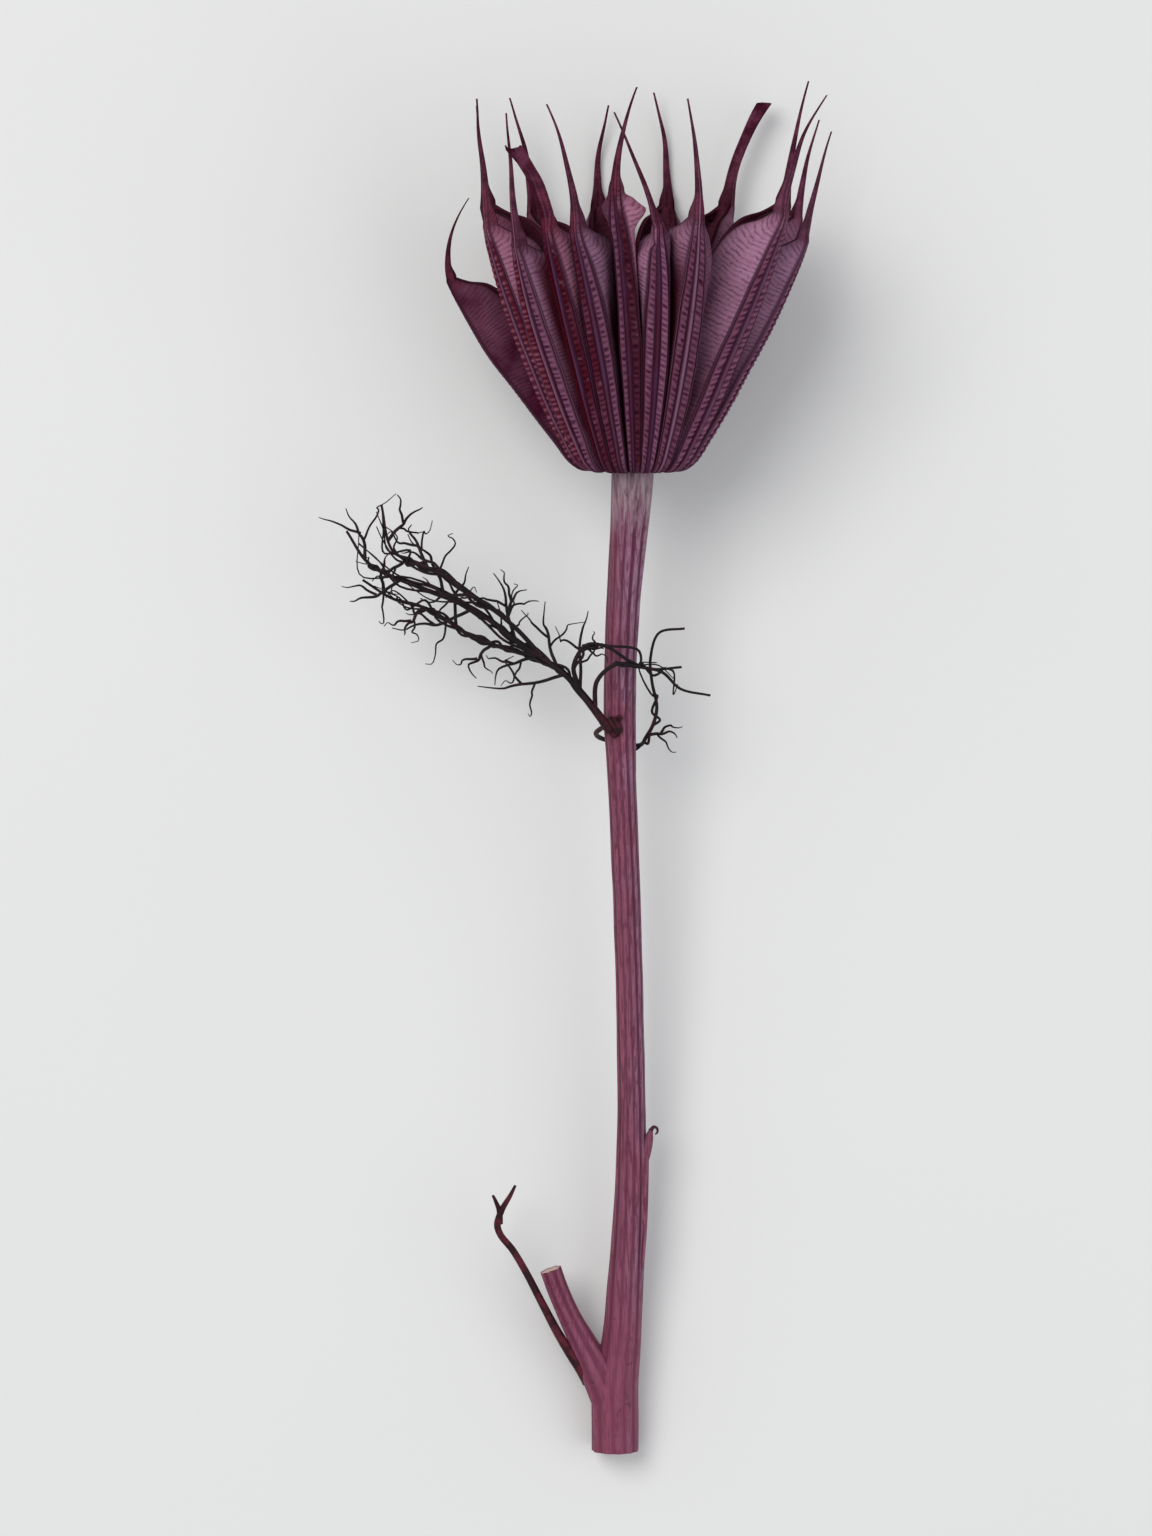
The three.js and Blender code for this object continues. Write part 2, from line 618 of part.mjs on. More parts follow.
function leaf(strands) {
  const threads = strands.flatMap((strand, i) => strandThreads(strand, 100 * (i + 1)));
  return joined(threads.map(solid)).subtract(clearOfStem);
}

function named(name, shape) {
  const { vertProperties, numProp, triVerts } = shape.getMesh();
  if (numProp !== 3) throw new Error(`${name} has stray vertex data`);
  const geometry = new THREE.BufferGeometry();
  geometry.setAttribute('position', new THREE.BufferAttribute(vertProperties, 3));
  geometry.setIndex(new THREE.BufferAttribute(triVerts, 1));
  geometry.computeVertexNormals();
  const material = new THREE.MeshStandardMaterial({ metalness: 0, ...COLOURS[name] });
  const mesh = new THREE.Mesh(geometry, material);
  mesh.name = name;
  return mesh;
}

const lying = new THREE.Group();
lying.rotation.x = TILT;
lying.position.copy(POD_FOOT);
lying.updateMatrix();

const below = belowSurface();
const widerStub = { ...STUB, radii: STUB.radii.map((radius) => radius + LEAF_CLEARANCE) };
const clearOfStem = solid(stemGeometry(LEAF_CLEARANCE, 0)).add(solid(tube(widerStub)));

lying.add(named('seed_head', seedHead()));
lying.add(named('stem', stem()));
lying.add(named('upper_leaf', leaf(UPPER_STRANDS)));
lying.add(named('fork_leaf', leaf(FORK_STRANDS)));

export default lying;
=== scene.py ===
"""A dried nigella seed pod on its cut stem, lying on a pale floor.

The shapes are worked out in the pod's own frame, in millimetres: origin where the stem meets
the pod, X to the right, Y along the stem towards the beaks, Z away from the floor. OUT is the
distance from the Y axis, UP the height along it, ASIDE the distance from a follicle's plane.
"""

import math

import bpy
import numpy as np
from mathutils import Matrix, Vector


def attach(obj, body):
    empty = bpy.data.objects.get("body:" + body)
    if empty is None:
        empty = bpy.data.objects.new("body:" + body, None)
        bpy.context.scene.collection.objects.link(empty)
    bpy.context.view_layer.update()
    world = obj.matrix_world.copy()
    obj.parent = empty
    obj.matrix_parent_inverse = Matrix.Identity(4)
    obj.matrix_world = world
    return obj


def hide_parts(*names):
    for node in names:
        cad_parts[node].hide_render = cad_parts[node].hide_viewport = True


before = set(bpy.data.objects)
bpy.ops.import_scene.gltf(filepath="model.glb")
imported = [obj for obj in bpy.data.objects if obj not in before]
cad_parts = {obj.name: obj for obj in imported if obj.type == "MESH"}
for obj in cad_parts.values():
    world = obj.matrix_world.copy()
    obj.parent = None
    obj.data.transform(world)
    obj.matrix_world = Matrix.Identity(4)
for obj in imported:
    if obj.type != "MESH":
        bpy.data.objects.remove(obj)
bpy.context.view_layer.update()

TILT = math.radians(6.85)
POD_FOOT = np.array([5.38, 28.335, 13.24])
MM = 0.001

# One follicle seen from the side, as in the solid but thinner at the top: keel and seam (out,
# up), then half widths of the back, of the flanks and of the open seam.
FOLLICLE_ROWS = np.array([
    [2.0, 0.4, 1.2, 1.4, 0.3, 0.4, 0.0],
    [4.3, -0.45, 2.3, 1.7, 0.7, 0.95, 0.0],
    [6.0, 0.5, 2.9, 2.9, 0.95, 1.25, 0.0],
    [7.5, 2.9, 3.3, 5.0, 1.15, 1.5, 0.0],
    [9.2, 6.0, 1.6, 7.6, 1.36, 1.8, 0.0],
    [11.1, 10.0, 3.3, 11.2, 1.42, 2.0, 0.05],
    [12.7, 13.4, 6.4, 14.8, 1.34, 2.2, 0.5],
    [14.1, 16.6, 8.8, 18.0, 1.16, 2.4, 1.1],
    [15.2, 19.3, 10.5, 20.6, 0.94, 2.3, 1.4],
    [15.9, 21.2, 12.3, 22.4, 0.74, 1.8, 1.1],
    [16.3, 22.4, 14.3, 23.1, 0.6, 1.1, 0.55],
    [16.6, 23.5, 15.6, 23.8, 0.5, 0.6, 0.2],
])

# Each follicle: its turn round the pod at the foot and at the shoulder, size, spread, and the
# beak's tip from its foot (out, up, aside), girth and kind. Then its looks, on the left and the
# right where there are two. From 0 to 1: how pale the flanks and how red the bands are, and how
# strong the painted highlight along the midrib is. dusk is the place up to which painted shade
# darkens a flank, verge the depth in millimetres from which it does, and dim how much painted
# shade darkens a band. A dashed band has pale dashes on a dark ground, any other pale cells
# between dark lines; slant is how steeply these cross it. lean tips the back to one side, dome
# widens the top of a flank.
PLAIN_FOLLICLE = dict(
    size=1.0, spread=0.0, girth=0.9, kind="horn", dusk=(0.5, 0.5), verge=(0.4, 0.4), dim=(0.0, 0.0),
    dashed=(False, False), dome=(0.0, 0.0), lean=0.0,
)
FOLLICLES = [PLAIN_FOLLICLE | follicle for follicle in [
    dict(turn=(-95, -94), size=0.85, spread=10.5, beak=(-3.5, 8.5, -1.0),
         pale=(0.05, 0.2), red=(0.8, 0.8), line=0.4, dusk=(0.3, 0.3)),
    dict(turn=(-67, -60), size=0.96, beak=(1.4, 11.5, 0.0),
         pale=(0.5, 0.8), red=(0.8, 0.9), line=0.7, lean=0.15, dashed=(True, True)),
    dict(turn=(-50, -44), size=0.91, spread=2.0, beak=(1.6, 13.5, 0.3),
         pale=(0.5, 0.66), red=(0.9, 0.15), line=0.9, dusk=(0.5, 0.86), verge=(0.4, 0.5), lean=0.24,
         slant=0.1, dim=(0.1, 0.15), dashed=(True, False)),
    dict(turn=(-29, -30), size=0.97, spread=0.5, beak=(2.0, 7.4, -2.6), girth=1.2,
         pale=(0.05, 0.6), red=(1.0, 1.0), line=0.2, dusk=(0.86, 0.62), verge=(-3.0, 0.4),
         dim=(0.1, 0.2), kind="ragged"),
    dict(turn=(-12, -20), size=0.97, beak=(1.4, 11.5, -2.4),
         pale=(0.1, 0.72), red=(0.9, 0.05), line=0.2, dusk=(0.6, 0.62), dim=(0.15, 0.3)),
    dict(turn=(0, -6), size=1.08, spread=-1.5, beak=(0.8, 9.0, 2.0), girth=0.85,
         pale=(0.3, 1.0), red=(0.35, 0.95), line=0.1, dusk=(0.64, 0.55), dome=(0.2, 1.0),
         slant=0.0, dim=(0.2, 0.45)),
    dict(turn=(13, 7.5), size=0.98, spread=0.5, beak=(0.6, 10.6, -4.1), girth=0.5,
         pale=(1.0, 0.3), red=(0.4, 0.05), line=0.1, dusk=(0.5, 0.7), verge=(0.4, 0.1),
         slant=-0.7, kind="straw"),
    dict(turn=(27, 21), beak=(1.0, 11.0, -1.4), girth=0.8,
         pale=(0.75, 0.35), red=(0.4, 0.3), line=0.9, dusk=(0.74, 0.5), verge=(-0.1, 0.3),
         slant=-0.7, dim=(0.1, 0.2)),
    dict(turn=(48, 57), size=1.01, beak=(3.8, 10.8, 1.6), girth=1.1,
         pale=(1.0, 0.8), red=(0.3, 0.2), line=0.5, dusk=(0.36, 0.42), lean=-0.2),
    dict(turn=(73, 79), size=0.93, spread=3.0, beak=(2.2, 11.0, 0.0), girth=1.0,
         pale=(0.85, 0.7), red=(0.1, 0.2), line=0.8, dusk=(0.36, 0.42)),
    dict(turn=(98, 101), size=0.97, beak=(2.4, 9.5, 1.0),
         pale=(0.5, 0.5), red=(0.3, 0.3), line=0.5),
    dict(turn=(122, 121), size=1.02, spread=0.5, beak=(1.8, 11.5, -1.2), girth=1.0,
         pale=(0.4, 0.6), red=(0.4, 0.7), line=0.3),
    dict(turn=(145, 146), beak=(3.0, 9.8, -2.2), girth=1.4,
         pale=(0.6, 0.3), red=(0.5, 0.4), line=0.6, kind="cut"),
    dict(turn=(168, 168), beak=(-0.3, 10.8, 1.3),
         pale=(0.4, 0.7), red=(0.8, 0.3), line=0.2),
    dict(turn=(191, 192), beak=(-0.4, 9.6, -1.0),
         pale=(0.4, 0.4), red=(0.4, 0.4), line=0.8, dashed=(True, True)),
    dict(turn=(214, 216), size=0.98, spread=0.5, beak=(1.6, 11.2, 1.6), girth=1.0,
         pale=(0.6, 0.4), red=(0.2, 0.6), line=0.4),
    dict(turn=(237, 238), size=1.01, beak=(2.0, 10.0, -1.4),
         pale=(0.4, 0.3), red=(0.6, 0.8), line=0.5, dashed=(False, True)),
]]

# Places along a follicle go from 0 at the stem to 1 at the foot of the beak. Neighbours sink
# into each other up to one place and stand apart from another.
BODY_STATIONS = 310
ARC_SAMPLES = 600
FUSED_UP_TO, FREE_FROM = 0.46, 0.58
FUSED_OVERLAP, FREE_GAP = 0.08, 0.12
LEAST_ROOM = 0.12
SPREAD_BY, SIZED_BY = 0.6, 0.8

# Where the shares of the gaps below change from one to the next, and where these rise and fall:
# a dome, a lean, the marks across the bands and the hollow inside.
SHOULDER_RAMP, TOP_RAMP = (0.45, 0.75), (0.75, 0.87)
DOME_SPAN = (0.74, 0.87, 0.95, 1.0)
LEAN_SPAN = (0.1, 0.25, 0.85, 0.97)
MARKS_SPAN = (0.1, 0.2, 0.86, 0.97)
HOLLOW_SPAN = (0.42, 0.5, 0.93, 0.985)

BEAK_STATIONS = 24
BEAK_STEP = 0.4
TORN_TIPS = dict(ragged=0.8, cut=0.45)
BEAK_LOOKS = ("ridge", "groove", "light", "pale", "red", "dashed")

# Between each follicle and the next: the share of the room that its side takes up low down, at
# the shoulder and at the very top, and how wide the valley between their backs is.
GAPS = [
    (0.5, 0.5, 0.5, 0.05), (0.5, 0.6, 0.6, 0.06), (0.76, 0.72, 0.65, 0.3), (0.5, 0.6, 0.6, 0.06),
    (0.58, 0.7, 0.45, 0.24), (0.5, 0.42, 0.85, 0.05), (0.5, 0.42, 0.42, 0.13), (0.48, 0.36, 0.36, 0.1),
    (0.45, 0.42, 0.42, 0.06), (0.5, 0.5, 0.5, 0.08), (0.55, 0.5, 0.5, 0.12), (0.5, 0.45, 0.45, 0.06),
    (0.6, 0.55, 0.55, 0.18), (0.5, 0.5, 0.5, 0.05), (0.5, 0.5, 0.5, 0.1), (0.42, 0.45, 0.45, 0.2),
    (0.5, 0.55, 0.55, 0.08),
]

# How deep the valley starts and ends below the backs, and how much deeper it ends where it is
# wide.
VALLEY_TOP = 0.45
VALLEY_FOOT = 1.2
VALLEY_FOOT_BY_WIDTH = 9.0

# The back from the midrib (0) past the lateral rib (1): shares of its half width, then the
# depth there in millimetres, and how much of a mark, rib, ladder band, painted groove shade and
# painted highlight shows there.
BACK = np.array([
    [0.0, 0.0, 0.0, 1.0, 0.0, 0.0, 1.0],
    [0.07, 0.03, 0.0, 1.0, 0.0, 0.0, 0.6],
    [0.17, 0.12, 0.0, 1.0, 0.0, 0.1, 0.0],
    [0.235, 0.29, 0.0, 0.5, 0.4, 1.0, 0.0],
    [0.28, 0.24, 0.3, 0.0, 1.0, 0.4, 0.0],
    [0.34, 0.13, 0.9, 0.0, 1.0, 0.0, 0.0],
    [0.46, 0.07, 1.0, 0.0, 1.0, 0.0, 0.0],
    [0.58, 0.06, 1.0, 0.0, 1.0, 0.0, 0.0],
    [0.69, 0.1, 0.8, 0.0, 1.0, 0.0, 0.0],
    [0.77, 0.2, 0.4, 0.0, 1.0, 0.1, 0.0],
    [0.83, 0.36, 0.0, 0.0, 0.8, 0.9, 0.0],
    [0.9, 0.44, 0.0, 0.3, 0.2, 1.0, 0.0],
    [0.95, 0.3, 0.0, 1.0, 0.0, 0.2, 0.5],
    [1.0, 0.44, 0.0, 0.6, 0.0, 0.8, 0.1],
])
BACK_SHARES, BACK_DEPTHS, BACK_MARKS, BACK_RIDGES, BACK_BANDS, BACK_GROOVE_SHADES, BACK_HIGHLIGHTS = BACK.T
BACK_COLUMNS = len(BACK)
BACK_SHARE_OF_ROOM = 0.97
FULL_RELIEF_DEPTH = 4.0
FULL_RELIEF_WIDTH = 1.2

# The marks across a ladder band, dark lines or pale dashes: spacing and height in millimetres,
# slant where a follicle states none, how much they waver, how sharp they are, and how often and
# how much they fade.
LINES = dict(spacing=0.64, height=0.19, slant=0.4, waver=0.14, sharpness=1.2, pace=2.3, fading=0.7)
DASHES = dict(spacing=0.66, height=0.12, slant=0.15, waver=0.06, sharpness=2, pace=0.9, fading=0.9)

# The flank from the lateral rib (0) to the seam (1), its rim and the wall inside.
FLANK_COLUMNS = 9
FLANK_DEPTHS = np.array([0.0, 0.26, 0.52, 0.8, 1.0])
FLANK_START_DEPTH = 0.33
FLANK_RIPPLE = 0.07
VEIN_SPACING = 0.45
RIM_COLUMNS = 3
RIM_WALL = 0.5
RIM_LIP = 0.05
RIM_ROUNDING = 0.12
OPEN_GAPE = 0.3
INNER_SHARES = [0.93, 0.78, 0.6, 0.42]
INNER_END_DEPTH = 1.3
WALL = 0.36
DUSK_SOFTNESS = 0.1
VERGE_SOFTNESS = 0.8

# The middle of the ring, a little smaller than in the solid: its outline (out, up).
CORE_OUTLINE = [
    (0, 0.9), (3.1, 0.9), (4.4, 2.2), (6.2, 5.4), (7.5, 9.0), (5.8, 12.1), (3.0, 9.9), (0, 8.4),
]
CORE_STATIONS = 60

# The stem's middle line and width, from inside the pod to the cut end: up, aside, width.
STEM_ROWS = np.array([
    [1.1, 0.0, 3.4], [0.0, -0.05, 4.1], [-2.0, -0.1, 3.95], [-6.2, -0.4, 3.6], [-12.4, -0.9, 3.25],
    [-18.7, -1.2, 3.1], [-24.6, -1.25, 3.1], [-27.0, -1.15, 2.85], [-31.3, -0.97, 2.7],
    [-40.7, -0.6, 2.65], [-48.8, -0.35, 2.6], [-60.6, -0.15, 2.7], [-67.4, -0.2, 3.0],
    [-71.9, -0.37, 3.2], [-76.3, -0.65, 3.4], [-80.8, -0.9, 3.6], [-84.0, -1.2, 3.9],
    [-87.6, -1.7, 4.5], [-93.5, -1.65, 4.5],
])
STEM_RIBS = 11
STEM_TWIST = math.radians(40)
STEM_STATIONS = 320
STEM_SOFTENING = 15
GROOVE_DEPTH = 0.17
PITH_SHARES = (0.93, 0.78, 0.5, 0.22)

# The cut stub of the side branch, and the nub that a fallen leaf left, with the ridge below it.
STUB_LINE = [
    (-1.9, -89.0, 0.1), (-3.3, -86.0, 0.3), (-4.6, -83.4, 0.5),
    (-6.0, -80.6, 0.7), (-7.1, -78.0, 1.0), (-7.8, -76.0, 1.1),
]
STUB_RADII = [2.0, 1.75, 1.35, 1.1, 1.05, 1.05]
STUB_SIDES = 56
STUB_STATIONS = 60
STUB_RIBS = 7
NUB_LINE = [(0.7, -67.0, 0.1), (1.2, -65.0, 0.2), (1.5, -63.6, 0.3), (1.7, -62.7, 0.4)]
NUB_RADII = [0.4, 0.5, 0.42, 0.2]
NUB_CURL = [(1.6, -63.0, 0.4), (1.95, -62.5, 0.5), (2.25, -62.6, 0.55), (2.3, -63.0, 0.5), (2.1, -63.2, 0.45)]
NUB_RIDGE = [(1.15, -65.0, 0.35), (1.18, -68.0, 0.55), (1.12, -72.0, 0.75), (0.95, -76.0, 0.95)]

# The lumps at the node that the upper leaf grows from: line and radii.
LEAF_NODE = np.array([-2.2, -24.5, 1.5])
LEAF_NODE_REACH = (0.8, 5.0)
NODE_LUMPS = [
    ([(-2.4, -23.6, 1.75), (-2.0, -24.2, 1.65), (-1.7, -24.8, 1.5), (-1.55, -25.3, 1.25)],
     [0.3, 0.55, 0.6, 0.3]),
    ([(-1.9, -23.5, 1.8), (-1.55, -24.1, 1.9), (-1.35, -24.7, 1.75), (-1.3, -25.1, 1.4)],
     [0.15, 0.3, 0.34, 0.12]),
    ([(-2.5, -24.1, 1.6), (-2.2, -24.7, 1.8), (-1.9, -25.2, 1.7), (-1.7, -25.5, 1.3)],
     [0.15, 0.28, 0.32, 0.12]),
    ([(-1.5, -23.6, 1.85), (-1.25, -23.45, 2.0), (-1.0, -23.6, 1.95)], [0.2, 0.18, 0.06]),
]
NODE_LUMP_NEARNESS = 1.25

# The strands of the upper leaf: line, radii, number of twigs, their reach. Then those of the
# fork leaf: line and radii.
UPPER_STRANDS = [
    ([(-2.2, -24.8, 2.0), (-3.1, -23.5, 2.15), (-4.9, -21.2, 2.0), (-6.3, -19.6, 1.8), (-8.1, -18.3, 1.6),
      (-10.6, -16.6, 1.5), (-15.0, -13.4, 1.3), (-20.0, -11.4, 0.8), (-24.7, -9.3, 0.2),
      (-26.9, -6.2, -0.3)], [0.85, 0.6, 0.5, 0.42, 0.4], 9, 7.5),
    ([(-6.4, -19.4, 1.6), (-9.6, -17.9, 0.9), (-12.4, -17.1, 0.2), (-15.4, -16.0, -0.4),
      (-19.2, -13.6, -0.8), (-22.6, -12.6, -0.8), (-25.4, -10.8, -0.4)], [0.42, 0.4], 5, 5.5),
    ([(-8.6, -17.8, 1.8), (-11.3, -14.8, 2.8), (-15.4, -11.7, 3.2), (-19.6, -9.2, 2.6),
      (-22.5, -7.9, 2.0), (-23.6, -3.6, 1.2)], [0.42, 0.4], 5, 5.5),
    ([(-4.9, -21.2, 2.0), (-5.6, -18.6, 3.2), (-4.4, -16.6, 3.7), (-2.6, -16.7, 3.7), (-0.2, -18.2, 3.3),
      (1.8, -18.9, 2.8), (4.5, -18.8, 2.0)], [0.42, 0.4], 1, 3.0),
    ([(-3.6, -22.8, 2.2), (-3.4, -20.0, 3.0), (-1.6, -18.4, 3.5), (0.8, -18.7, 3.3), (2.7, -19.2, 3.0),
      (4.4, -20.8, 2.4), (7.2, -21.5, 1.6)], [0.42, 0.4], 0, 0.0),
    ([(-2.8, -24.4, 2.0), (-3.5, -25.2, 0.2), (-2.9, -25.9, -1.7), (-1.1, -26.4, -2.4), (0.6, -26.5, -1.6),
      (1.2, -25.6, 0.0), (1.9, -24.2, 0.8), (2.2, -22.6, 1.0), (1.75, -20.3, 1.2), (1.6, -18.0, 1.6),
      (2.4, -15.6, 1.8), (4.8, -15.2, 1.6)], [0.45, 0.4], 1, 4.0),
]
FORK_STRANDS = [
    ([(-4.2, -86.9, 0.5), (-4.9, -85.6, 0.9), (-6.0, -83.9, 1.0), (-7.3, -81.7, 1.0),
      (-8.6, -79.2, 1.0), (-10.2, -76.1, 1.0), (-11.4, -74.1, 1.0), (-12.5, -72.7, 1.1),
      (-12.8, -71.7, 1.3), (-12.4, -70.3, 1.5), (-11.6, -68.9, 1.6), (-11.1, -67.9, 1.6)],
     [0.75, 0.6, 0.46, 0.42, 0.4, 0.4]),
    ([(-12.6, -71.6, 1.3), (-12.6, -70.4, 1.5), (-12.9, -69.5, 1.8), (-13.2, -68.8, 2.1)], [0.42, 0.38]),
]
STRAND_SIDES = 8
STATIONS_PER_POINT = 10
STRAND_FINENESS = 0.55
STRAND_TIP_RADIUS = 0.12
FORK_FINENESS = 0.78
FORK_TIP_RADIUS = 0.14

# The threads of the upper leaf: twigs, their tips, hairs on them, and threads beside a strand.
THREAD_SIDES = 6
TWIG_POINTS = 3
TWIG_RADII = [0.17, 0.15, 0.12, 0.05]
TIP_RADII = [0.13, 0.12, 0.09, 0.04]
HAIR_RADII = [0.11, 0.1, 0.08, 0.04]
TWIG_SWAY = 0.9
HAIR_SWAY = 1.3 * TWIG_SWAY
FOLLOWERS = 4
FOLLOWER_SWAY = 2.2
FOLLOWER_RADII = [0.15, 0.14, 0.13, 0.12, 0.05]
FOLLOWER_STATIONS = 60

WANDER_WAVES = 4

FLOOR_HALF = 2.0
CAMERA_TARGET = (0.0, 0.0, 0.012)
CAMERA_DISTANCE = 0.8
CAMERA_LEAN = math.radians(1.0)
CAMERA_LENS = 200


def to_row(points):
    """From the pod's frame in millimetres to the row's frame in metres."""
    points = np.asarray(points, float)
    c, s = math.cos(TILT), math.sin(TILT)
    y = points[..., 1] * c - points[..., 2] * s
    z = points[..., 1] * s + points[..., 2] * c
    placed = np.stack([points[..., 0], y, z], -1) + POD_FOOT
    placed[..., 2] = np.maximum(placed[..., 2], 0)
    return placed * MM


def mix(a, b, share):
    """Straight from a, where share is 0, to b, where it is 1."""
    return a + (b - a) * share


def ramp(value, low, high):
    """Rises smoothly from 0 at low to 1 at high."""
    t = np.clip((np.asarray(value, float) - low) / (high - low), 0, 1)
    return t * t * (3 - 2 * t)


def swell(value, a, b, c, d):
    """Rises smoothly from 0 at a to 1 at b, and falls back to 0 from c to d."""
    return ramp(value, a, b) * (1 - ramp(value, c, d))


def least(a, b, soft):
    """The smaller of two values, rounded off where they meet."""
    return 0.5 * (a + b - np.hypot(a - b, soft))


def smoothly(values, place):
    """A smooth curve through evenly spaced values (or rows of values), read from 0 to 1."""
    values = np.asarray(values, float)
    last = len(values) - 1
    scaled = np.clip(np.asarray(place, float), 0, 1) * last
    i = np.minimum(np.floor(scaled).astype(int), last - 1)
    f = scaled - i
    if values.ndim > 1:
        f = f[..., None]
    a, b = values[np.maximum(i - 1, 0)], values[i]
    c, d = values[i + 1], values[np.minimum(i + 2, last)]
    bend = (-a + c) * f + (2 * a - 5 * b + 4 * c - d) * f**2 + (-a + 3 * b - 3 * c + d) * f**3
    return b + 0.5 * bend


def curve_between(columns, t):
    """A smooth curve through evenly spaced columns of a table, read at t for each of its rows."""
    return np.stack([smoothly(row, t) for row in columns])


def centripetal(line, t):
    """The centripetal curve through a line's points, read at t from 0 to 1."""
    points = np.asarray(line, float)
    last = len(points) - 1
    before, after = 2 * points[0] - points[1], 2 * points[-1] - points[-2]
    padded = np.concatenate([[before], points, [after]])
    scaled = np.clip(np.asarray(t, float), 0, 1) * last
    index = np.minimum(np.floor(scaled).astype(int), last - 1)
    f = (scaled - index)[..., None]
    p0, p1, p2, p3 = (padded[index + k] for k in range(4))
    gaps = [np.maximum(np.linalg.norm(b - a, axis=-1, keepdims=True), 1e-4) ** 0.5
            for a, b in ((p0, p1), (p1, p2), (p2, p3))]
    start = ((p1 - p0) / gaps[0] - (p2 - p0) / (gaps[0] + gaps[1]) + (p2 - p1) / gaps[1]) * gaps[1]
    end = ((p2 - p1) / gaps[1] - (p3 - p1) / (gaps[1] + gaps[2]) + (p3 - p2) / gaps[2]) * gaps[1]
    cubic = 2 * p1 - 2 * p2 + start + end
    square = -3 * p1 + 3 * p2 - 2 * start - end
    return p1 + start * f + square * f**2 + cubic * f**3


def lengths_along(points):
    """How far along a line of flat points each of them lies."""
    return np.concatenate([[0], np.cumsum(np.hypot(*np.diff(points, axis=0).T))])


def angles(count):
    """Angles evenly spaced round a ring, as one row."""
    return np.linspace(0, 2 * np.pi, count, endpoint=False)[None, :]


def wander(values, seed):
    """A smooth repeatable wobble of about -1 to 1 along the values."""
    rng = np.random.default_rng(seed)
    total = np.zeros_like(np.asarray(values, float))
    for _ in range(WANDER_WAVES):
        total += rng.uniform(0.4, 1) * np.sin(values * rng.uniform(0.5, 2.2) + rng.uniform(0, 6.3))
    return total / WANDER_WAVES


def into_scene(name, data):
    """A new object in the scene."""
    thing = bpy.data.objects.new(name, data)
    bpy.context.scene.collection.objects.link(thing)
    return thing


class Shape:
    """Grids of points gathered into one mesh, with named values at each point, 0 if not given."""

    def __init__(self):
        self.points, self.faces, self.values, self.count = [], [], [], 0

    def add_grid(self, grid, **values):
        """Adds rings of points with the faces between them, and gives the rings' numbers."""
        rows, columns = grid.shape[:2]
        ids = self.count + np.arange(rows * columns).reshape(rows, columns)
        ids = np.concatenate([ids, ids[:, :1]], 1)
        quads = np.stack([ids[:-1, :-1], ids[:-1, 1:], ids[1:, 1:], ids[1:, :-1]], -1)
        self.faces.extend(quads.reshape(-1, 4).tolist())
        self.points.append(to_row(grid.reshape(-1, 3)))
        spread = {key: np.broadcast_to(value, (rows, columns)).reshape(-1) for key, value in values.items()}
        self.values.append((rows * columns, spread))
        self.count += rows * columns
        return ids

    def close(self, ring, inwards=False):
        """Closes a ring of add_grid with one face."""
        ring = [int(i) for i in ring[:-1]]
        self.faces.append(ring[::-1] if inwards else ring)

    def build(self, name, material, slot, *nodes):
        """Makes the piece, which rides on root and takes the place of the nodes."""
        mesh = bpy.data.meshes.new(name)
        mesh.from_pydata(np.concatenate(self.points).tolist(), [], self.faces)
        mesh.polygons.foreach_set("use_smooth", np.ones(len(mesh.polygons), bool))
        for key in sorted({key for _, values in self.values for key in values}):
            parts = [values.get(key, np.zeros(size)) for size, values in self.values]
            attribute = mesh.attributes.new(key, "FLOAT", "POINT")
            attribute.data.foreach_set("value", np.concatenate(parts).astype(np.float32))
        mesh.materials.append(material)
        mesh.update()
        piece = into_scene(name, mesh)
        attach(piece, "root")
        if nodes:
            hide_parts(*nodes)
        return piece


def bearing_at(follicle, place):
    """How far round the pod a follicle stands, in degrees."""
    return mix(*follicle["turn"], ramp(place, 0, 1))


def sides_at(index, place):
    """Right and left of a follicle: the room before the neighbour's, as aside per out, and the
    valley between their backs."""
    count = len(FOLLICLES)
    own = bearing_at(FOLLICLES[index], place)
    sides = []
    for step, gap in ((1, index), (-1, index - 1)):
        low, shoulder, top, valley = GAPS[gap]
        share = mix(mix(low, shoulder, ramp(place, *SHOULDER_RAMP)), top, ramp(place, *TOP_RAMP))
        if step < 0:
            share = 1 - share
        other = bearing_at(FOLLICLES[(index + step) % count], place)
        turn = abs((other - own + 180) % 360 - 180)
        sides.append((np.tan(np.radians(turn) * share), valley))
    return sides


def room_at(out, slope, valley, place, depth):
    """How far aside a follicle may reach, with a valley between the backs."""
    free = ramp(place, FUSED_UP_TO, FREE_FROM)
    narrower = 1 - valley * (1 - ramp(depth, VALLEY_TOP, VALLEY_FOOT + VALLEY_FOOT_BY_WIDTH * valley))
    room = np.maximum(out, 0) * slope * narrower + mix(FUSED_OVERLAP, -FREE_GAP, free)
    return np.maximum(room, LEAST_ROOM)


def pod_point(follicle, place, out, up, aside):
    """From a follicle's own plane (out, up, aside) to the pod's frame."""
    spread = np.radians(follicle["spread"]) * ramp(place, 0, SPREAD_BY)
    wide = out * np.cos(spread) + up * np.sin(spread)
    high = up * np.cos(spread) - out * np.sin(spread)
    size = mix(1, follicle["size"], ramp(place, 0, SIZED_BY))
    bearing = np.radians(bearing_at(follicle, place))
    x = size * wide * np.sin(bearing) + aside * np.cos(bearing)
    z = size * wide * np.cos(bearing) - aside * np.sin(bearing)
    return np.stack([x, size * high + 0 * x, z], -1)


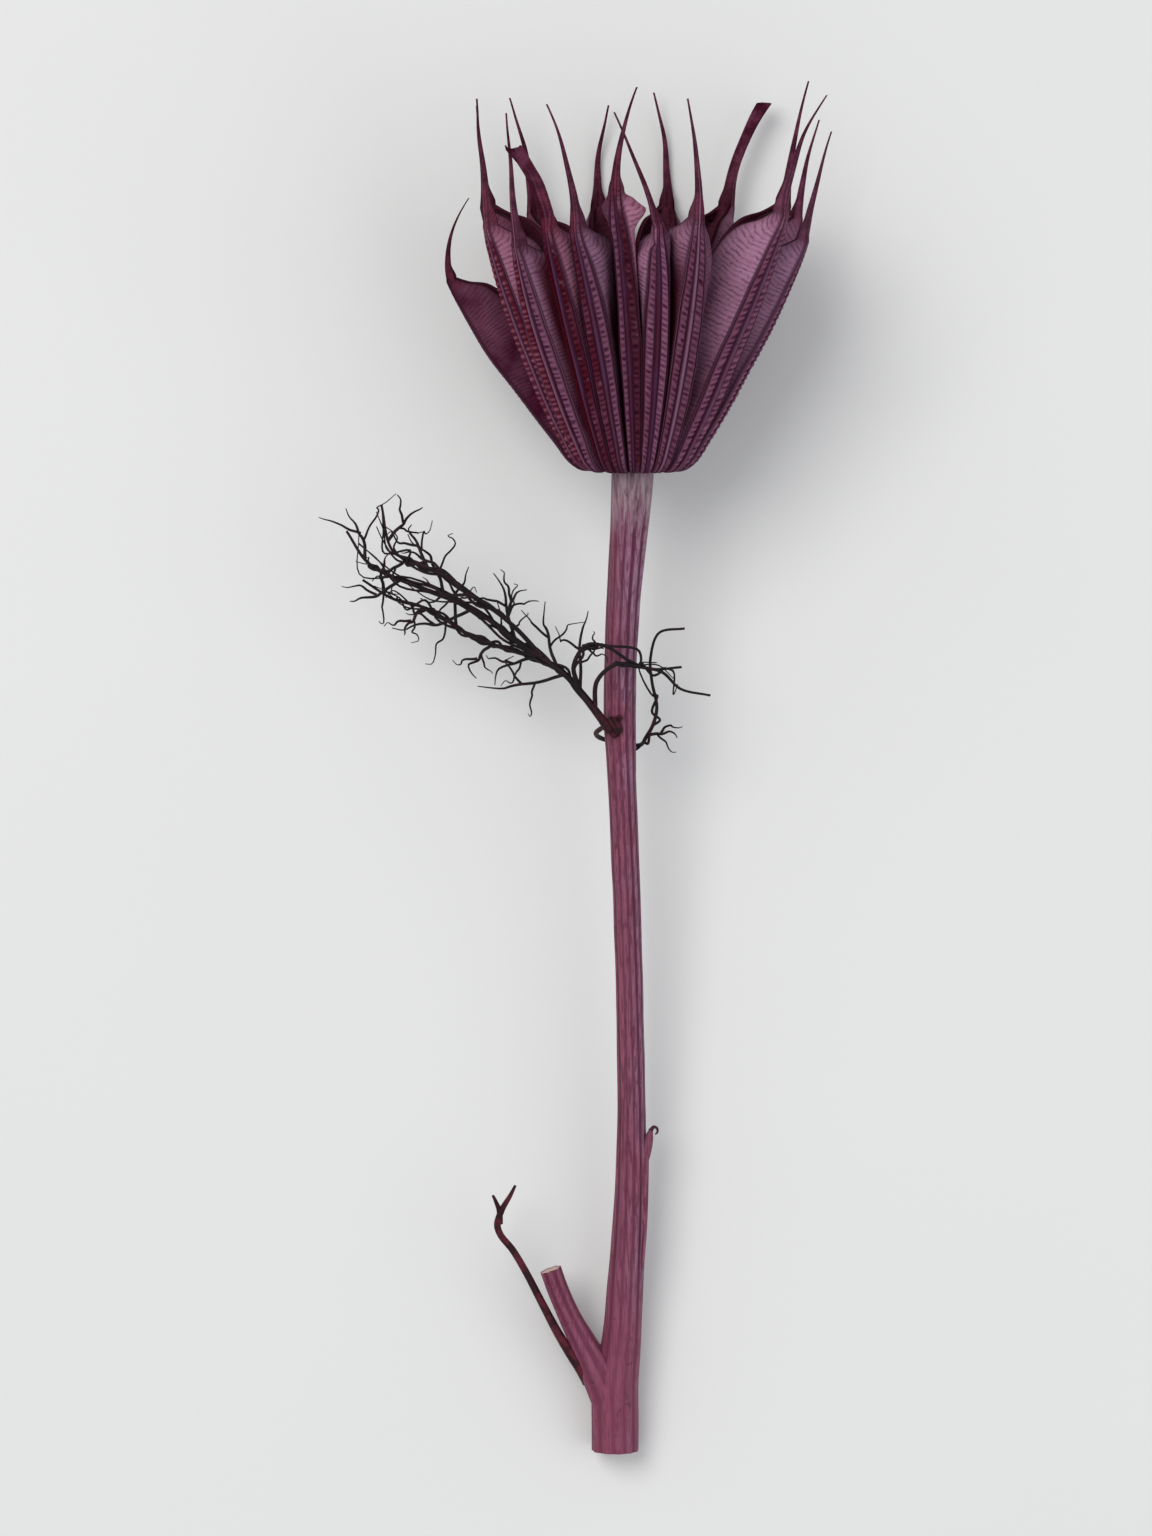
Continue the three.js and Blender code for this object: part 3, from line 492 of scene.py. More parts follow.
def back_of(place, arc, row, seed, side, marks, slant):
    """The back of a follicle from the midrib past the lateral rib: depth, aside, how far the skin
    is raised (1 on cells and dashes, 0 on lines and ground) and where the ladder band shows."""
    wobbly = arc + 0.35 * wander(1.3 * arc, seed) - slant * side * BACK_SHARES
    wobbly = wobbly + marks["waver"] * wander(2.2 * arc + 1.5 * BACK_SHARES, seed + 5)
    wave = (0.5 - 0.5 * np.cos(2 * np.pi * wobbly / marks["spacing"])) ** marks["sharpness"]
    uneven = wander(marks["pace"] * arc + 2 * BACK_SHARES, seed + 7)
    strength = np.clip(0.8 + marks["fading"] * uneven, 0.15, 1.1)
    shown = swell(place, *MARKS_SPAN)
    mark = wave * strength * BACK_MARKS * shown
    raised = mark if marks is DASHES else 1 - mark
    sway = 1 + 0.05 * wander(0.9 * arc, seed + 3)
    relief = np.minimum(row["deep"] / FULL_RELIEF_DEPTH, 1)
    relief = relief * np.clip(row["back"] / FULL_RELIEF_WIDTH, 0.4, 1)
    depth = (BACK_DEPTHS - marks["height"] * raised) * relief
    return depth, BACK_SHARES * row["back"] * sway, raised, BACK_BANDS * shown


def flank_of(arc, row, seed, start):
    """The flank from the lateral rib to the seam's edge: depth and aside."""
    rim = row["gape"] + RIM_WALL
    back, flank = row["back"], row["flank"]
    stops = np.concatenate([start, mix(back, flank, 0.8), flank, mix(flank, rim, 0.5), rim], 1)
    t = np.linspace(0.06, 1, FLANK_COLUMNS)
    share = smoothly(FLANK_DEPTHS, t)
    ripple = FLANK_RIPPLE * wander(0.8 * arc + 2.5 * share, seed + 11) * np.sin(np.pi * share)
    aside = curve_between(stops, t) + ripple
    aside[:, -1:] += RIM_LIP
    return mix(FLANK_START_DEPTH, row["deep"], share), aside


def rim_of(row, edge):
    """The rounded edge of the seam, from outside to inside: depth and aside."""
    deep, rim = row["deep"], row["gape"] + RIM_WALL
    depth = np.concatenate([deep + 0.09, deep + 0.13, deep + 0.02], 1)
    aside = np.concatenate([mix(edge, rim, 0.85), mix(edge, rim, 0.45), edge], 1)
    return depth, aside


def inside_of(place, row, flank_depth, flank_aside, openness):
    """The wall inside a follicle, from the seam's edge to behind its back: depth and aside."""
    deep = row["deep"]
    depth = np.concatenate([deep * share for share in INNER_SHARES] + [0 * deep + INNER_END_DEPTH], 1)
    depth = np.minimum(depth, deep)
    rows = range(len(place))
    outer = np.stack([np.interp(depth[i], flank_depth[i], flank_aside[i]) for i in rows])
    hollow = swell(place, *HOLLOW_SPAN)
    return depth, np.maximum(outer - WALL, 0.05) * hollow * openness + 0.01


def looks_of(follicle, hand, place, depth, deep, raised, band):
    """The values that the material reads, for one half (hand) of every section."""
    sizes = (BACK_COLUMNS, FLANK_COLUMNS, RIM_COLUMNS, len(INNER_SHARES) + 1)

    def field(back=0.0, flank=0.0, rim=0.0, inner=0.0):
        parts = (back, flank, rim, inner)
        return np.concatenate([np.zeros((len(place), n)) + part for n, part in zip(sizes, parts)], 1)

    # Painted shade darkens a flank below the place dusk and deeper than verge millimetres.
    dusk, verge = follicle["dusk"][hand], follicle["verge"][hand]
    in_painted_shade = 1 - ramp(place, dusk - DUSK_SOFTNESS, dusk + DUSK_SOFTNESS)
    return dict(
        rung=field(back=raised),
        band=field(back=band),
        ridge=field(back=BACK_RIDGES),
        # groove: painted shade in the grooves beside the ladder bands, and over a band as far as dim says.
        groove=field(back=np.maximum(BACK_GROOVE_SHADES, follicle["dim"][hand] * BACK_BANDS)),
        # hollow: painted shade deep in the valleys between the follicles.
        hollow=ramp(depth * deep, verge, verge + VERGE_SOFTNESS) * in_painted_shade,
        # light: a painted highlight along the midrib and the lateral rib.
        light=field(back=BACK_HIGHLIGHTS * follicle["line"]),
        **{key: np.full(depth.shape, float(follicle[key][hand])) for key in ("pale", "red", "dashed")},
        rim=field(flank=np.linspace(0, 1, FLANK_COLUMNS) ** 6, rim=1.0),
        inner=field(rim=np.array([0.0, 0.3, 0.8]), inner=1.0),
        depth=depth,
    )


def half_section(index, place, slope, valley, arc, side):
    """One half of every section of a follicle, from the midrib over the seam's edge to inside:
    out, up, aside and the values that the material reads."""
    follicle, hand = FOLLICLES[index], int(side > 0)
    read = smoothly(FOLLICLE_ROWS, place)
    keel, seam = read[:, 0:2], read[:, 2:4]
    deep = np.hypot(*(keel - seam).T)[:, None]
    place, arc, slope = place[:, None], arc[:, None], slope[:, None]
    room = room_at(keel[:, 0:1], slope, valley, place, 0)
    dome = follicle["dome"][hand] * swell(place, *DOME_SPAN)
    row = dict(
        back=least(read[:, 4:5], BACK_SHARE_OF_ROOM * room, 0.1),
        flank=read[:, 5:6] * (1 + dome),
        gape=np.maximum(read[:, 6:7], 0),
        deep=deep,
    )
    seed = 40 * index + 20 * hand
    openness = np.clip(row["gape"] / OPEN_GAPE, 0, 1)

    marks = DASHES if follicle["dashed"][hand] else LINES
    slant = follicle.get("slant", marks["slant"])
    back_depth, back_aside, raised, band = back_of(place, arc, row, seed, side, marks, slant)
    lean = follicle["lean"] * swell(place, *LEAN_SPAN)
    back_depth = back_depth + side * lean * back_aside
    flank_depth, flank_aside = flank_of(arc, row, seed, back_aside[:, -1:])
    rim_depth, rim_aside = rim_of(row, row["gape"] + RIM_ROUNDING * openness)
    outer_depth = np.concatenate([back_depth, flank_depth, rim_depth], 1) / deep
    outer_aside = np.concatenate([back_aside, flank_aside, rim_aside], 1)
    out = mix(keel[:, 0:1], seam[:, 0:1], outer_depth)
    room = room_at(out, slope, valley, place, outer_depth * deep)
    outer_aside = np.maximum(least(outer_aside, room, 0.06 + 0.6 * dome) + 0.015, 0)
    outer_aside[:, 0] = 0
    flank_aside = outer_aside[:, BACK_COLUMNS:BACK_COLUMNS + FLANK_COLUMNS]
    inner_depth, inner_aside = inside_of(place, row, flank_depth, flank_aside, openness)

    depth = np.concatenate([outer_depth, inner_depth / deep], 1)
    aside = np.concatenate([outer_aside, inner_aside], 1)
    out = mix(keel[:, 0:1], seam[:, 0:1], depth)
    up = mix(keel[:, 1:2], seam[:, 1:2], depth)
    return out, up, aside, looks_of(follicle, hand, place, depth, deep, raised, band)


def beak_line(index, t):
    """The middle line of a beak from its foot (0) to its tip (1): out, up, aside."""
    follicle = FOLLICLES[index]
    straw = follicle["kind"] == "straw"
    start = 0.5 * (FOLLICLE_ROWS[-1, 0:2] + FOLLICLE_ROWS[-1, 2:4])
    tip_out, tip_up, tip_aside = follicle["beak"]
    swing = 0.22 * np.sin(np.pi * t) * (0.3 if straw else 1)
    bow = 0.12 * tip_up * t * (1 - t)
    out = start[0] + tip_out * t**2 + bow + swing * wander(5 * t, index + 300)
    up = start[1] + tip_up * t
    aside = tip_aside * t ** (1.15 if straw else 2) + swing * wander(5 * t, index + 400)
    return out, up, aside


def beak_widths(kind, girth, t):
    """Half the width and the thickness of a beak from its foot (0) to its tip (1)."""
    if kind == "ragged":
        return girth * mix(0.62, 0.72, t), 0.3 + 0 * t
    if kind == "cut":
        return girth * (0.5 - 0.55 * t * (1 - t)) + 0.12 * t, mix(0.5, 0.26, t)
    wide = girth * 0.34 * (1 - t) ** 1.7 + 0.21 - 0.12 * t
    return wide, 0.92 * wide


def beak_rings(index, ring):
    """The beak: rings that go on from the last ring of the body (out, up, aside) as a thin horn."""
    kind = FOLLICLES[index]["kind"]
    t = np.linspace(0, 1, BEAK_STATIONS + 1)[1:, None]
    line_out, line_up, line_aside = beak_line(index, t)
    wide, thin = beak_widths(kind, FOLLICLES[index]["girth"], t)
    wide = wide * (1 + 0.08 * wander(7 * t, index + 500))
    angle = angles(ring.shape[1])
    groove = 1 - 0.22 * np.exp(-(((angle - np.pi) / 0.45) ** 2))
    ridge = 1 + 0.1 * np.exp(-((np.minimum(angle, 2 * np.pi - angle) / 0.35) ** 2))
    blend = ramp(t, 0.0, 0.22)
    own = (ring - ring.mean(1, keepdims=True))[:, None, :] * (1 - 0.35 * t)[None]
    out = line_out + mix(own[0], thin * np.cos(angle) * groove * ridge, blend)
    up = line_up + mix(own[1], 0, blend)
    aside = line_aside + mix(own[2], wide * np.sin(angle), blend)
    if kind in TORN_TIPS:
        torn = ramp(t, 0.72, 1.0) * wander(9 * np.sin(angle) + 3 * index, index + 600)
        up = up + TORN_TIPS[kind] * torn
    return out, up, aside


def follicle_piece(index, material):
    """One follicle with its beak, as a mesh with the values that its material reads."""
    even = np.linspace(0, 1, ARC_SAMPLES)
    lengths = lengths_along(smoothly(FOLLICLE_ROWS, even)[:, 0:2])
    arc = np.linspace(0, lengths[-1], BODY_STATIONS)
    place = np.interp(arc, lengths, even)
    right_side, left_side = sides_at(index, place)
    right = half_section(index, place, *right_side, arc, 1)
    left = half_section(index, place, *left_side, arc, -1)

    def around(a, b, sign=1.0):
        return np.concatenate([a, sign * b[:, :0:-1]], 1)

    out, up = around(right[0], left[0]), around(right[1], left[1])
    aside = around(right[2], left[2], -1.0)
    looks = {key: around(right[3][key], left[3][key]) for key in right[3]}
    beak = beak_rings(index, np.stack([out[-1], up[-1], aside[-1]]))
    out, up, aside = (np.concatenate([a, b]) for a, b in zip((out, up, aside), beak))
    on_beak = np.concatenate([ramp(place, 0.86, 1.04), np.ones(BEAK_STATIONS)])[:, None]
    place = np.concatenate([place, np.ones(BEAK_STATIONS)])[:, None]
    arc = np.concatenate([arc, arc[-1] + BEAK_STEP * np.arange(1, BEAK_STATIONS + 1)])[:, None]
    fading = np.linspace(1, 0, BEAK_STATIONS + 1)[1:, None]
    for key, value in looks.items():
        share = fading if key in BEAK_LOOKS else fading**4
        looks[key] = np.concatenate([value, value[-1:] * share])
    grid = pod_point(FOLLICLES[index], place, out, up, aside)
    shape = Shape()
    ids = shape.add_grid(grid, **looks, arc=arc, place=place, beak=on_beak)
    shape.close(ids[0])
    shape.close(ids[-1], inwards=True)
    return shape.build(f"follicle_{index + 1:02d}", material, "seed_head", "seed_head")


def core_piece(material):
    """The middle of the ring, where the follicles have grown into one."""
    outline = np.array(CORE_OUTLINE, float)
    lengths = lengths_along(outline)
    along = np.linspace(0, 1, CORE_STATIONS) * lengths[-1]
    radius = np.interp(along, lengths, outline[:, 0])[:, None]
    up = np.interp(along, lengths, outline[:, 1])[:, None]
    flutes = len(FOLLICLES)
    angle = angles(8 * flutes)
    fluted = radius * (1 - 0.04 * (0.5 + 0.5 * np.cos(flutes * angle)))
    grid = np.stack([fluted * np.sin(angle), up + 0 * angle, fluted * np.cos(angle)], -1)
    shape = Shape()
    shape.add_grid(grid, inner=1, depth=1, arc=up, place=0.4, pale=0.2, red=0.7)
    return shape.build("pod_middle", material, "seed_head", "seed_head")


def tube_grid(line, radii, sides, stations):
    """Rings round a smooth line, without twist."""
    t = np.linspace(0, 1, stations)
    points = centripetal(line, t)
    radius = smoothly(radii, t)
    along = np.gradient(points, axis=0)
    along /= np.linalg.norm(along, axis=1, keepdims=True)
    side = np.cross(along[0], (0.0, 0.0, 1.0))
    side /= max(np.linalg.norm(side), 1e-9)
    rings = []
    angle = angles(sides).T
    for centre, direction, r in zip(points, along, radius):
        side = side - direction * np.dot(side, direction)
        side /= np.linalg.norm(side)
        over = np.cross(side, direction)
        rings.append(centre + r * (np.cos(angle) * side + np.sin(angle) * over))
    return np.array(rings)


def near_node(grid):
    """How near points are to the node that the upper leaf grows from, from 0 to 1."""
    return 1 - ramp(np.linalg.norm(grid - LEAF_NODE, axis=-1), *LEAF_NODE_REACH)


def add_tube(shape, line, radii, sides, stations, **values):
    """A closed tube, with what the materials of the stem and of the leaves read."""
    grid = tube_grid(line, radii, sides, stations)
    ids = shape.add_grid(grid, **(dict(height=0.5, up=grid[..., 1], near=near_node(grid)) | values))
    shape.close(ids[0])
    shape.close(ids[-1], inwards=True)


def add_cut_end(shape, ring, normal, seed):
    """Closes a cut end with a rough, slightly sunken face of pith."""
    centre = ring.mean(0)
    grid = [ring]
    for i, share in enumerate(PITH_SHARES):
        lumps = 0.06 * wander(np.arange(len(ring)) * 0.9, seed + i)[:, None]
        grid.append(centre + share * (ring - centre) + normal * (lumps - 0.05 * (i + 1)))
    pith = np.array([0.0, 0.5, 1.0, 1.0, 1.0])[:, None]
    ids = shape.add_grid(np.stack(grid), height=0.5, up=ring[:, 1][None, :], pith=pith)
    shape.close(ids[-1], inwards=True)


def stem_grid():
    """The ribbed stem: rings of points, how high each is between groove and rib, and its side."""
    up = np.linspace(STEM_ROWS[0, 0], STEM_ROWS[-1, 0], STEM_STATIONS)
    rows = STEM_ROWS[::-1]
    soft = np.hanning(STEM_SOFTENING) / np.hanning(STEM_SOFTENING).sum()

    def along(column):
        read = np.interp(up, rows[:, 0], rows[:, column])
        return np.convolve(np.pad(read, STEM_SOFTENING // 2, mode="edge"), soft, mode="valid")[:, None]

    aside, width = along(1), along(2)
    up = up[:, None]
    angle = angles(8 * STEM_RIBS)
    turned = angle - STEM_TWIST * np.linspace(0, 1, STEM_STATIONS)[:, None]
    drift = 0.35 * wander(0.16 * up, 900)
    rib = 0.5 + 0.5 * np.cos(STEM_RIBS * turned + drift + 0.7 * np.sin(2 * turned))
    strong = 0.76 + 0.24 * np.sin(3 * turned + 1.2) * np.sin(5 * turned)
    height = 1 - strong * (1 - rib**0.8)
    radius = 0.5 * width - GROOVE_DEPTH * (1 - height)
    radius = radius + 0.035 * wander(0.5 * up + 3 * np.sin(angle), 905)
    x = aside + radius * np.sin(angle)
    return np.stack([x, up + 0 * x, radius * np.cos(angle)], -1), height, np.sin(angle)


def add_stub(shape):
    """The cut stub of the side branch, ribbed as the stem is."""
    grid = tube_grid(STUB_LINE, STUB_RADII, STUB_SIDES, STUB_STATIONS)
    rib = (0.5 + 0.5 * np.cos(STUB_RIBS * angles(STUB_SIDES) + 0.6)) ** 0.8
    centre = grid.mean(1, keepdims=True)
    grid = centre + (grid - centre) * (1 - 0.13 * (1 - rib))[..., None]
    shape.add_grid(grid, height=rib, up=grid[..., 1])
    ahead = centre[-1, 0] - centre[-2, 0]
    add_cut_end(shape, grid[-1], ahead / np.linalg.norm(ahead), 920)


def stem_piece(material):
    """The stem with its cut end, its stub and its nub."""
    shape = Shape()
    grid, height, side = stem_grid()
    # around runs from -1 on the left to 1 on the right and places the stem's painted highlight.
    ids = shape.add_grid(grid, height=height, up=grid[..., 1], around=side)
    shape.close(ids[0])
    add_cut_end(shape, grid[-1], np.array([0.0, -1.0, 0.0]), 910)
    add_stub(shape)
    add_tube(shape, NUB_LINE, NUB_RADII, 12, 18, height=0.6)
    add_tube(shape, NUB_CURL, [0.2, 0.16, 0.12, 0.07], 6, 16, scar=0.8)
    add_tube(shape, NUB_RIDGE, [0.36, 0.3, 0.22, 0.1], 8, 24, height=1)
    return shape.build("stem_dressed", material, "stem", "stem")


def fraction(seed):
    """A repeatable number from 0 to 1, by the rule that the solid uses."""
    value = math.sin(seed * 12.9898) * 43758.5453
    return value - math.floor(value)


def between(low, high, seed):
    return low + (high - low) * fraction(seed)


def tangent(line, place):
    """The direction of a line at a place from 0 to 1."""
    step = 1e-4
    low, high = max(place - step, 0), min(place + step, 1)
    difference = centripetal(line, high) - centripetal(line, low)
    return difference / np.linalg.norm(difference)


def twig_line(line, place, side, reach, seed):
    """The line of a twig, as in the solid."""
    along = tangent(line, place)
    across = np.array([-along[1], along[0], 0.0]) * side
    lift = np.array([0.0, 0.0, between(-0.225, 0.275, seed)])
    heading = between(0.6, 1.1, seed + 0.1)
    curl = between(-0.35, 0.3, seed + 0.2)
    step = reach * between(0.6, 1.1, seed + 0.3) / TWIG_POINTS
    point = centripetal(line, place)
    points = [point.copy()]
    for _ in range(TWIG_POINTS):
        point = point + along * step * math.cos(heading)
        point = point + across * step * math.sin(heading)
        point = point + lift * step
        heading += curl
        points.append(point.copy())
    return points


def wave_at(t, seed):
    """A smooth wobble in three directions along t, for a thread that wanders."""
    return np.stack([wander(7 * t, seed), wander(7 * t, seed + 1), 0.6 * wander(7 * t, seed + 2)], -1)


def bent(line, sway, seed):
    """The line of a thread again, with a few waves that grow towards its tip."""
    t = np.linspace(0, 1, 9)
    return centripetal(line, t) + sway * (t[:, None] ** 1.2) * wave_at(t, seed)


def follower(line, start, end, seed):
    """A thread that leaves a strand at start and wanders beside it."""
    t = np.linspace(start, end, 12)
    apart = np.clip((t - start) / (end - start), 0, 1)[:, None] ** 0.7
    return centripetal(line, t) + FOLLOWER_SWAY * apart * wave_at(9 * t + seed, seed)


def thread(shape, line, radii, stations=20):
    add_tube(shape, line, radii, THREAD_SIDES, stations)


def add_strand(shape, line, radii, tip_radius, fineness):
    """A main thread of a leaf, finer than in the solid."""
    slim = [r * fineness for r in radii[:-1]] + [tip_radius]
    add_tube(shape, line, slim, STRAND_SIDES, STATIONS_PER_POINT * len(line))


def upper_leaf_piece(material):
    """The upper leaf: strands with their threads, twigs, tips and hairs, and lumps at its node."""
    shape = Shape()
    for k, (line, radii, twigs, reach) in enumerate(UPPER_STRANDS):
        seed = 100 * (k + 1)
        add_strand(shape, line, radii, STRAND_TIP_RADIUS, STRAND_FINENESS)
        for i in range(FOLLOWERS if twigs > 2 else 1):
            start, end = 0.3 * fraction(seed + 60 + i), mix(0.8, 1.0, fraction(seed + 70 + i))
            thread(shape, follower(line, start, end, seed + 80 + 5 * i), FOLLOWER_RADII, FOLLOWER_STATIONS)
        for i in range(twigs):
            place = mix(0.22, 0.96, (i + 0.5 * fraction(seed + i)) / twigs)
            side = 1 if i % 2 else -1
            twig = twig_line(line, place, side, reach, seed + 10 + i)
            tip = twig_line(twig, 0.5, -side, 0.55 * reach, seed + 50 + i)
            hair = twig_line(twig, 0.35, side, 0.6 * reach, seed + 200 + 7 * i)
            thread(shape, bent(twig, TWIG_SWAY, seed + 300 + i), TWIG_RADII)
            thread(shape, bent(tip, TWIG_SWAY, seed + 400 + i), TIP_RADII)
            thread(shape, bent(hair, HAIR_SWAY, seed + 500 + i), HAIR_RADII)
    for line, radii in NODE_LUMPS:
        add_tube(shape, line, radii, 12, 18, near=NODE_LUMP_NEARNESS)
    return shape.build("upper_leaf_dressed", material, "dark_leaf", "upper_leaf")


def fork_leaf_piece(material):
    """The folded leaf in the fork."""
    shape = Shape()
    for line, radii in FORK_STRANDS:
        add_strand(shape, line, radii, FORK_TIP_RADIUS, FORK_FINENESS)
    return shape.build("fork_leaf_dressed", material, "red_leaf", "fork_leaf")


class Nodes:
    """A material's nodes, added one by one and joined as they are added."""

    def __init__(self, name):
        self.material = bpy.data.materials.new(name)
        self.material.use_nodes = True
        self.tree = self.material.node_tree
        self.tree.nodes.clear()

    def add(self, kind, inputs=None, **settings):
        """A node of a kind, with values or other nodes' outputs as its inputs."""
        node = self.tree.nodes.new(kind)
        for key, value in settings.items():
            setattr(node, key, value)
        for key, value in (inputs or {}).items():
            socket = node.inputs[key]
            if isinstance(value, bpy.types.NodeSocket):
                self.tree.links.new(value, socket)
            else:
                socket.default_value = value
        return node

    def value(self, name):
        """A named value of the mesh."""
        return self.add("ShaderNodeAttribute", attribute_name=name).outputs["Fac"]

    def math(self, operation, a, b=0.0, c=0.0, clamp=False):
        node = self.add("ShaderNodeMath", {0: a, 1: b, 2: c}, operation=operation, use_clamp=clamp)
        return node.outputs[0]

    def times(self, a, b):
        return self.math("MULTIPLY", a, b)

    def line(self, value, slope, offset, clamp=False):
        """A value times a slope, plus an offset."""
        return self.math("MULTIPLY_ADD", value, slope, offset, clamp)

    def range(self, value, low, high, to_low=0.0, to_high=1.0):
        """A smooth step from one value at low to another at high."""
        inputs = {"Value": value, "From Min": low, "From Max": high, "To Min": to_low, "To Max": to_high}
        return self.add("ShaderNodeMapRange", inputs, interpolation_type="SMOOTHSTEP").outputs[0]

    def blend(self, share, a, b, how="MIX"):
        """From colour a, where share is 0, to colour b, where it is 1."""
        node = self.add("ShaderNodeMix", {0: share, 6: a, 7: b}, data_type="RGBA", blend_type=how)
        return node.outputs[2]

    def noise(self, scale, detail=3.0, stretch=(1, 1, 1)):
        """Noise over the object, so many to the millimetre, stretched along the pod's axes."""
        where = self.add("ShaderNodeTexCoord").outputs["Object"]
        scaled = tuple(v / MM for v in stretch)
        spot = self.add("ShaderNodeMapping", {"Vector": where, "Rotation": (-TILT, 0, 0), "Scale": scaled})
        inputs = {"Vector": spot.outputs[0], "Scale": scale, "Detail": detail, "Roughness": 0.55}
        return self.add("ShaderNodeTexNoise", inputs).outputs["Fac"]

    def mottled(self, colour, share, dark, light):
        """A colour made darker or lighter by a share of 0 to 1."""
        return self.blend(1.0, colour, self.blend(share, (dark,) * 3 + (1,), (light,) * 3 + (1,)), "MULTIPLY")

    def finish(self, colour, roughness, height, lift, specular, sheen=0.0):
        """The surface, with a relief of the height times the lift in metres."""
        bump = self.add("ShaderNodeBump", {"Height": height, "Strength": 1.0, "Distance": lift})
        shader = self.add("ShaderNodeBsdfPrincipled", {
            "Base Color": colour,
            "Roughness": roughness,
            "Normal": bump.outputs[0],
            "Specular IOR Level": specular,
            "Sheen Weight": sheen,
            "Sheen Roughness": 0.5,
        })
        self.add("ShaderNodeOutputMaterial", {"Surface": shader.outputs[0]})
        return self.material


def rgb(red, green, blue):
    """A colour from its screen values of 0 to 255."""
    linear = [((v / 255 + 0.055) / 1.055) ** 2.4 if v > 10 else v / 255 / 12.92 for v in (red, green, blue)]
    return (*linear, 1.0)


def vein_pattern(n, blotch, on_flank):
    """The fine veins across the flanks, from 0 between them to 1 on them."""
    leaning = n.line(n.value("depth"), -1.4, n.line(blotch, 0.9, n.value("arc")))
    phase = n.times(leaning, 2 * math.pi / VEIN_SPACING)
    wave = n.line(n.math("SINE", phase), 0.5, 0.5)
    patchy = n.range(n.noise(1.1), 0.35, 0.65, 0.3, 1.0)
    return n.times(n.times(n.math("POWER", wave, 3.0), on_flank), patchy)


def flank_colour(n, red, vein, broad, blotch):
    """The skin of the flanks: dark low down, partly as painted shade, and pale at the shoulder, with blotches
    and veins.
    """
    # Darker low down: partly the skin's own tone, partly painted shade deep in the pod.
    high = n.line(n.range(n.value("place"), 0.3, 0.78), 0.7, 0.3)
    paleness = n.math("ADD", n.times(high, n.value("pale")), n.line(broad, 0.7, -0.37), clamp=True)
    palest = n.blend(red, rgb(154, 114, 142), rgb(174, 116, 140))
    colour = n.blend(paleness, rgb(58, 14, 34), palest)
    colour = n.blend(n.range(blotch, 0.45, 0.75, 0, 0.3), colour, rgb(100, 42, 64))
    return n.blend(n.times(vein, 0.6), colour, rgb(52, 14, 34))


def ladder_colour(n, red, broad):
    """The bands of the back: pale cells between dark lines, or pale dashes on a dark ground."""
    raised, dashed = n.value("rung"), n.value("dashed")
    redness = n.math("ADD", n.times(red, 0.9), n.line(broad, 1.2, -0.6), clamp=True)
    line = n.blend(redness, rgb(64, 24, 48), rgb(48, 5, 18))
    cell = n.blend(redness, rgb(130, 84, 110), rgb(80, 20, 36))
    ground = n.blend(redness, rgb(84, 38, 60), rgb(78, 16, 34))
    dash = n.blend(redness, rgb(156, 110, 130), rgb(132, 66, 82))
    colour = n.blend(dashed, n.blend(raised, line, cell), n.blend(raised, ground, dash))
    # Some raised cells turn pale in patches.
    pale_patches = n.times(n.range(n.noise(1.3), 0.56, 0.68), raised)
    return n.blend(n.times(pale_patches, n.line(dashed, -0.35, 0.35)), colour, rgb(146, 104, 126))


def pod_material():
    """The skin of the pod, in layers from the flanks to the specks, with painted shade in the grooves and
    between the follicles, and a painted highlight along the midribs.
    """
    n = Nodes("pod_skin")
    band, ridge, rim, red = (n.value(key) for key in ("band", "ridge", "rim", "red"))
    broad, blotch, grain = n.noise(0.22), n.noise(0.7, 4.0), n.noise(7.0, 4.0)
    skin = n.math("SUBTRACT", 1.0, n.math("MAXIMUM", n.math("MAXIMUM", band, ridge), rim), clamp=True)
    vein = vein_pattern(n, blotch, skin)
    midrib = n.blend(n.range(broad, 0.35, 0.65), rgb(60, 16, 36), rgb(60, 28, 56))
    horn = n.blend(red, rgb(98, 50, 70), rgb(106, 38, 56))
    horn = n.blend(n.range(blotch, 0.4, 0.65), rgb(62, 18, 34), horn)

    colour = flank_colour(n, red, vein, broad, blotch)
    for share, layer in (
        (band, ladder_colour(n, red, broad)),
        (ridge, midrib),
        (n.times(n.value("beak"), 0.8), horn),
        # Painted shade in the grooves and on dimmed bands.
        (n.times(n.value("groove"), 0.9), rgb(34, 4, 16)),
        # Painted shade deep between the follicles.
        (n.times(n.value("hollow"), 0.93), rgb(58, 5, 18)),
        # A painted highlight along the midrib and the lateral rib.
        (n.times(n.value("light"), 0.75), rgb(148, 108, 130)),
        (rim, rgb(38, 5, 17)),
        (n.value("inner"), n.blend(grain, rgb(44, 10, 22), rgb(92, 44, 60))),
        (n.times(n.range(n.noise(1.6, 2.0), 0.68, 0.74), 0.45), rgb(40, 10, 22)),
    ):
        colour = n.blend(share, colour, layer)
    colour = n.mottled(colour, grain, 0.7, 1.25)

    rough = n.line(grain, 0.25, 0.42)
    height = n.line(blotch, 0.6, n.math("ADD", n.times(vein, -0.5), n.times(grain, 0.35)))
    return n.finish(colour, rough, height, 0.09 * MM, specular=0.015)


